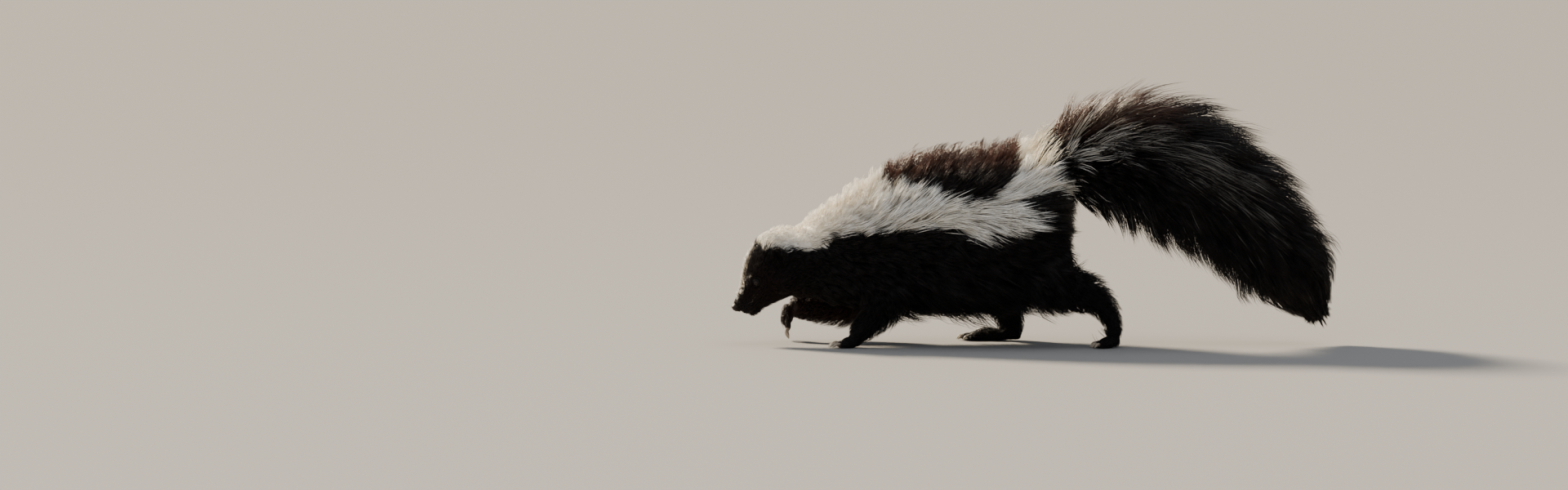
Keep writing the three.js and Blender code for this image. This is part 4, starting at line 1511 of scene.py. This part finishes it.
plume = {
    "hairs": 24000,
    "steps": 4,
    "from": 0.012,
    "to": 0.95,
    "rootLean": (0.005, 0.16),  # how far the first hairs lean back, and on what share
    "reach": 0.23,  # share of the tail that a hair runs along
    "tuftSize": 14,
    "tuftPull": 0.55,
    "width": 0.00105,
    "seed": 21,
    "rootFullness": (1.02, 0.20),  # how full the plume starts, and where it is full
    "streak": (0.42, 0.30),  # angle of the pale streak above the side of the tail, and its fall
    "streakHalf": 0.26,
    "endSoftness": 0.02,
    "runOn": 0.13,  # how far the last hairs run past the tip
    "outerShare": 0.7,  # of the hairs, which reach the outline; the rest fill the inside
    "outerFull": (0.98, 0.05),
    "innerFull": (0.45, 0.9),
    "streakStrength": (0.30, 0.62),  # at the root of the tail, and along it
    "paleLitAndShaded": (0.62, 0.46),  # of the white at the sunlit root, and how much it greys along the tail as painted shade
    "thirds": (0.335, 0.645),
    "floorGap": 0.0015,
}


def tierLength(t):  # the first hairs stand up round the root of the tail, and the last are short
    share = np.clip((t - 0.03) / 0.8, 0, 1)
    return np.minimum(0.24 + 3.0 * share, 1) * (1 - 0.3 * share)


def growPlume():
    rng = np.random.default_rng(plume["seed"])
    count, steps = plume["hairs"], plume["steps"]
    t = plume["from"] + (plume["to"] - plume["from"]) * rng.random(count)
    angle = rng.random(count) * 2 * math.pi
    flesh = through(tail["stations"], t)[:, 3]
    root = tailPoint(t, angle, flesh - coat["sunk"])
    spots = np.stack([t, np.cos(angle) * 0.05, np.sin(angle) * 0.05], 1)
    heads, tuft = tuftsOf(spots, plume["tuftSize"], rng)
    tufts = len(heads)
    outer = rng.random(count) < plume["outerShare"]
    reaching = rng.normal(*plume["outerFull"], count)
    full = np.where(outer, reaching, rng.uniform(*plume["innerFull"], count))
    start, whole = plume["rootFullness"]
    full = full * (1 + rng.normal(0, 1, tufts)[tuft] * (0.08 + 0.07 * ease(t, 0.5, 0.8)))
    full = full * (start + (1 - start) * ease(t, 0, whole))
    uneven = 1 + rng.normal(0, 0.12, tufts)[tuft] + rng.normal(0, 0.08, count)
    reach = plume["reach"] * tierLength(t) * uneven
    drift = varied(rng, tuft, tufts, 0.10, 0.05)
    runOn = plume["runOn"] * rng.random(tufts)[tuft] * (0.4 + 0.6 * rng.random(count))
    tipWay = unit(np.diff(np.array(tail["stations"])[-2:, :2], axis=0))[0]
    early = 0.03 * rng.random(tufts)[tuft] ** 2 + 0.012 * rng.random(count)
    lean, rootEnd = plume["rootLean"]
    path = [root]
    for k in range(1, steps + 1):
        s = k / steps
        soft = plume["endSoftness"]
        at = t + reach * s
        at = at - soft * np.log1p(np.exp((at - 1) / soft)) - early * ease(at, 0.8, 1.0) * s
        hairTips = through(tail["stations"], at)[:, 2]
        radius = flesh + (hairTips * full - flesh) * (1 - (1 - s) ** 1.35)
        place = tailPoint(at, angle + drift * s**1.5, radius)
        place[:, 0] += lean * s * (1 - ease(t, 0, rootEnd))
        past = np.clip(t + reach * s - 0.98, 0, 0.15) * runOn
        place[:, 0] += past * tipWay[0]
        place[:, 2] += past * tipWay[1]
        path.append(place)
    path = np.stack(path, 1)
    lead = path[heads][tuft]
    lead = lead * np.where(outer, 1, 0)[:, None, None] + path * np.where(outer, 0, 1)[:, None, None]
    pulled = plume["tuftPull"] * (0.5 + 0.5 * rng.random(tufts))[tuft]
    path = gathered(path, lead, pulled, 1.6, plume["floorGap"])
    normal = unit(root - tailPoint(t, angle, flesh * 0))
    return rng, t, angle, tuft, root, normal, path


def addPlume():
    rng, t, angle, tuft, root, normal, path = growPlume()
    count = len(t)
    # pale streak along each side, from the root of the tail into its last third
    side = np.abs(((angle + math.pi / 2) % (2 * math.pi)) - math.pi) - math.pi / 2  # 0 at the side
    jitter = varied(rng, tuft, tuft.max() + 1, 0.10, 0.08)
    high, fall = plume["streak"]
    off = np.abs(side + high - fall * t + jitter)
    atRoot, along = plume["streakStrength"]
    strength = atRoot * (1 - ease(t, 0.04, 0.20)) + along * (1 - ease(t, 0.30, 0.72))
    white = (1 - ease(off, plume["streakHalf"] * 0.3, plume["streakHalf"])) * strength
    under = ease(side, 0.5, 1.0) * (1 - ease(t, 0.1, 0.5)) * 0.08
    white = (np.maximum(white, np.maximum(under, 0.008)) > rng.random(count)).astype(float)
    # white kept pale and cream at the sunlit root of the tail, then greyed along it as painted shade
    tone, shadeGrey = plume["paleLitAndShaded"]
    white *= tone - shadeGrey * ease(t + 0.04 * rng.normal(0, 1, count), 0.03, 0.22)
    # painted sunlit glow on the top of the tail near its root: rust on the dark hair and cream on the
    # white
    top = ease(-side, 0.45, 1.0) * (1 - ease(t, 0.06, 0.26))
    brown = np.maximum(0.02, 0.95 * top)
    width = np.full(count, plume["width"]) * (0.8 + 0.4 * rng.random(count))
    shade = rng.random(count)
    place = laidFlat("tail", t, angle)
    part = np.digitize(t, plume["thirds"])
    for k, name in enumerate(("coatTailRoot", "coatTailMiddle", "coatTailEnd")):
        pick = part == k
        parts = (values[pick] for values in (path, normal, width, white, brown, shade, place))
        mesh = hairMesh(name, *parts)
        addPiece(name, mesh, hairFinish)


addPlume()
print("tail coat grown")


# Eyes and lids

eye = {
    "radius": 0.0042,
    "corneaRise": 0.00045,
    "corneaHalf": 0.62,  # radians
    "lidOpen": (37, 54),  # degrees from the eye's axis to the lids' edge, above and at the corners
    # lid profile: degrees past the edge, and radius as a share of the eye's
    "lidProfile": ((0, 1.02), (1, 1.06), (6, 1.10), (16, 1.09), (28, 0.98), (34, 0.86), (18, 0.93)),
    "lidTurn": 24,  # degrees that the inner corner lies below the outer one
}


def eyeAxes(side):  # centre, and the ways out, along the opening and up, in the row frame
    way = headTurn @ eyeWay(side)
    long = unit(np.cross(headTurn @ np.array([0, 0, 1.0]), way))
    up = np.cross(way, long)
    turn = math.radians(eye["lidTurn"]) * side
    c, s = math.cos(turn), math.sin(turn)
    long, up = long * c + up * s, up * c - long * s
    return np.array(head["noseTip"]) + headTurn @ eyePlace(side), way, long, up


def eyeFinish():
    n = Nodes("eyeFinish")
    ring = n.add("Attribute", {"attribute_name": "ring"}).outputs["Fac"]
    fine = n.noise(2600.0, 2.0)
    inner = n.range(ring, 0.20, 0.26, 0.0, 1.0)
    outer = n.range(ring, 0.50, 0.62, 0.0, 1.0)
    iris = n.mix(n.range(fine, 0.35, 0.65, 0.0, 1.0), finish["iris"], finish["irisFleck"])
    color = n.mix(inner, finish["pupil"], iris)
    n.put(n.shader, "Base Color", n.mix(outer, color, finish["eyeRim"]))
    n.put(n.shader, "Roughness", n.range(fine, 0.0, 1.0, *finish["eyeRoughness"]))
    n.put(n.shader, "Specular IOR Level", finish["eyeShine"])
    return n.material


plainKinds = {
    # colours at both ends, grain to a metre, its strength and depth, roughness and shine
    "lidFinish": ("lidRim", "lidSkin", 900.0, 0.4, 0.0003, 0.5, 0.22),
    "noseFinish": ("noseEdge", "noseSkin", 1900.0, 0.6, 0.0003, 0.36, 0.24),
    "clawFinish": ("clawRoot", "clawTip", 420.0, 0.25, 0.0003, 0.38, 0.4),
}


def plainFinish(name):  # skin or horn
    root, tip, scale, strength, distance, roughness, shine = plainKinds[name]
    n = Nodes(name)
    along = n.add("Attribute", {"attribute_name": "along"}).outputs["Fac"]
    fine = n.noise(scale, 4.0)
    color = n.mix(along, finish[root], finish[tip])
    shade = n.add("HueSaturation", {}, Value=n.range(fine, 0.25, 0.75, 0.75, 1.2), Color=color)
    n.put(n.shader, "Base Color", shade.outputs[0])
    n.put(n.shader, "Roughness", n.range(fine, 0.3, 0.7, roughness - 0.06, roughness + 0.1))
    n.put(n.shader, "Specular IOR Level", shine)
    n.bump(fine, strength, distance)
    return n.material


def addEye(side, name):
    centre, way, long, up = eyeAxes(side)
    points, faces = ballForm((0, 0, 0), (1, 1, 1), 40, 26)
    turnedOut = np.arccos(np.clip(points[:, 2], -1, 1))
    bulge = np.cos(np.clip(turnedOut / eye["corneaHalf"], 0, 1) * math.pi / 2) ** 2
    radius = eye["radius"] + eye["corneaRise"] * bulge
    placed = points * radius[:, None]
    placed = centre + placed[:, :1] * long + placed[:, 1:2] * up + placed[:, 2:] * way
    mesh = makeMesh(name, [(placed, faces)])
    addShare(mesh, "ring", turnedOut)
    piece = addPiece(name, mesh, eyeMaterial)
    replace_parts(piece, "eye_left" if side < 0 else "eye_right")


def addLids(side, name, steps=56):
    centre, way, long, up = eyeAxes(side)
    around = circle(steps)
    above, corner = (math.radians(v) for v in eye["lidOpen"])
    edge = above + (corner - above) * np.abs(np.cos(around)) ** 1.6
    rings = []
    for past, share in eye["lidProfile"]:
        polar = edge + math.radians(past)
        out = np.cos(polar)[:, None] * way
        flat = np.cos(around)[:, None] * long + np.sin(around)[:, None] * up
        rings.append(centre + eye["radius"] * share * (out + np.sin(polar)[:, None] * flat))
    rings = np.array(rings)
    count = len(rings)
    faces = []
    for k in range(count):
        for i in range(steps):
            j, m = (i + 1) % steps, (k + 1) % count
            faces.append((k * steps + i, k * steps + j, m * steps + j, m * steps + i))
    mesh = makeMesh(name, [(rings.reshape(-1, 3), faces)])
    addShare(mesh, "along", np.repeat([0, 0.4, 1, 1, 0.6, 0, 0], steps))
    outward(mesh)
    addPiece(name, mesh, lidMaterial)


def outward(mesh):
    shape = bmesh.new()
    shape.from_mesh(mesh)
    bmesh.ops.recalc_face_normals(shape, faces=shape.faces)
    shape.to_mesh(mesh)
    shape.free()


eyeMaterial = eyeFinish()
lidMaterial = plainFinish("lidFinish")
for side, word in ((-1, "Left"), (1, "Right")):
    addEye(side, "eye" + word)
    addLids(side, "lids" + word)
print("eyes and lids set")


# Nose, claws and whiskers

nose = {
    "centre": (0.0016, 0.0, 0.0001),
    "radii": (0.0052, 0.0053, 0.0045),
    "flatFront": (0.35, 0.55),  # where the front begins to flatten, and how much of it is left
    "narrowBelow": 0.28,
    "nostril": (-0.62, 0.50, 0.02),
    "nostrilHalf": 0.24,
    "nostrilDepth": 0.0019,
    "wing": (-0.26, 0.90, -0.14),
    "wingHalf": 0.22,
    "wingDepth": 0.0010,
    "seamDepth": 0.0007,
}


def addNose():
    points, faces = ballForm((0, 0, 0), (1, 1, 1), 72, 48)
    points = np.stack([points[:, 2], points[:, 0], points[:, 1]], 1)
    dent = np.zeros(len(points))
    for side in (-1, 1):
        for key in ("nostril", "wing"):
            a, b, c = nose[key]
            way = unit(np.array([a, side * b, c]))
            gap = np.linalg.norm(points - way, axis=1) / nose[key + "Half"]
            dent += nose[key + "Depth"] * np.exp(-(gap**2))
    seam = np.exp(-((points[:, 1] / 0.07) ** 2)) * ease(-points[:, 0], 0.1, 0.5)
    seam = seam * ease(-points[:, 2], -0.25, 0.15)
    dent += nose["seamDepth"] * seam
    begin, left = nose["flatFront"]
    front = np.clip(-points[:, 0] - begin, 0, None)
    placed = points * np.array(nose["radii"])
    placed[:, 0] += front * (1 - left) * nose["radii"][0]
    placed[:, 1] *= 1 - nose["narrowBelow"] * ease(-points[:, 2], 0.0, 1.0)
    placed -= unit(placed) * dent[:, None]
    placed = fromHead(placed + np.array(nose["centre"]))
    mesh = makeMesh("nosePad", [(placed, faces)])
    addShare(mesh, "along", ease(-points[:, 0], -0.4, 0.6))
    outward(mesh)
    material = plainFinish("noseFinish")
    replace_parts(addPiece("nosePad", mesh, material), "nose")


def clawForms(name):
    _, _, _, height, _, _, _, claw, droop = paws[name]
    sole = -height
    for forward, y, fan in toesOf(name):
        root = -forward - 0.0035
        base = root - 0.0015
        arch = 0.0009 + 0.06 * claw
        stops = [
            (root, y + fan * 1.5, sole + 0.0030 - droop * 0.6, 0.0013),
            (base - claw * 0.35, y + fan * 1.7, sole + 0.0032 + arch - droop * 0.7, 0.00125),
            (base - claw * 0.70, y + fan * 1.85, sole + 0.0023 + arch * 0.6 - droop * 0.85, 0.0009),
            (base - claw, y + fan * 2, sole + 0.0010 - droop, 0.0001),
        ]
        yield moved(tubeForm(stops, 12, 1.35), pawSpace(name))


def addClaws():
    for name in paws:
        forms = list(clawForms(name))
        mesh = makeMesh(name + "Claws", forms)
        rows = (len(forms[0][0]) - 2) // 12
        one = np.append(np.repeat(np.linspace(0, 1, rows), 12), (0, 1))
        addShare(mesh, "along", np.tile(one, len(forms)))
        outward(mesh)
        addPiece(name + "Claws", mesh, clawMaterial)


whiskers = {
    # group, how much it rises, and how it bends up or down at the tip
    "groups": (("muzzle", 0.0, -0.06), ("brow", 0.75, 0.05)),
    "bendBack": 0.30,
    "sunk": 0.0012,
    "brown": 0.15,
    "draw": 0.6,
    # back from the nose, up, length before it bends, and how far back it leans
    "muzzle": (
        (0.0080, -0.0045, 0.020, 0.50),
        (0.0095, -0.0070, 0.024, 0.62),
        (0.0120, -0.0050, 0.028, 0.74),
        (0.0125, -0.0078, 0.025, 0.80),
        (0.0150, -0.0058, 0.031, 0.92),
        (0.0155, -0.0088, 0.026, 0.96),
        (0.0180, -0.0070, 0.028, 1.10),
        (0.0185, -0.0100, 0.022, 1.15),
    ),
    "brow": ((0.036, 0.0125, 0.016, 1.1), (0.039, 0.0135, 0.020, 1.3), (0.042, 0.0125, 0.014, 1.5)),
    "width": 0.00026,
    "steps": 9,
    "seed": 31,
}


def addWhiskers():
    rng = np.random.default_rng(whiskers["seed"])
    paths = []
    for side in (-1, 1):
        for group, rise, lift in whiskers["groups"]:
            for back, up, length, lean in whiskers[group]:
                root = onHead(back, up, side, whiskers["sunk"])
                way = unit(np.array([lean, side * 1.0, rise + 0.25 * rng.normal()]))
                bend = np.array([whiskers["bendBack"], 0, lift]) * rng.uniform(0.7, 1.2)
                share = np.linspace(0, 1, whiskers["steps"])[:, None]
                paths.append(root + length * (way * share + bend * share**2))
    paths = fromHead(np.array(paths))
    count = len(paths)
    normal = np.tile(np.array([0, 0, 1.0]), (count, 1))
    kinds = (whiskers["width"], 0.0, whiskers["brown"], whiskers["draw"])
    even = (np.full(count, value) for value in kinds)  # width, white, brown and random share
    mesh = hairMesh("whiskers", paths, normal, *even, placeInMap(paths[:, 0]))
    addPiece("whiskers", mesh, hairFinish)


clawMaterial = plainFinish("clawFinish")
addNose()
addClaws()
addWhiskers()
print("nose, claws and whiskers set")
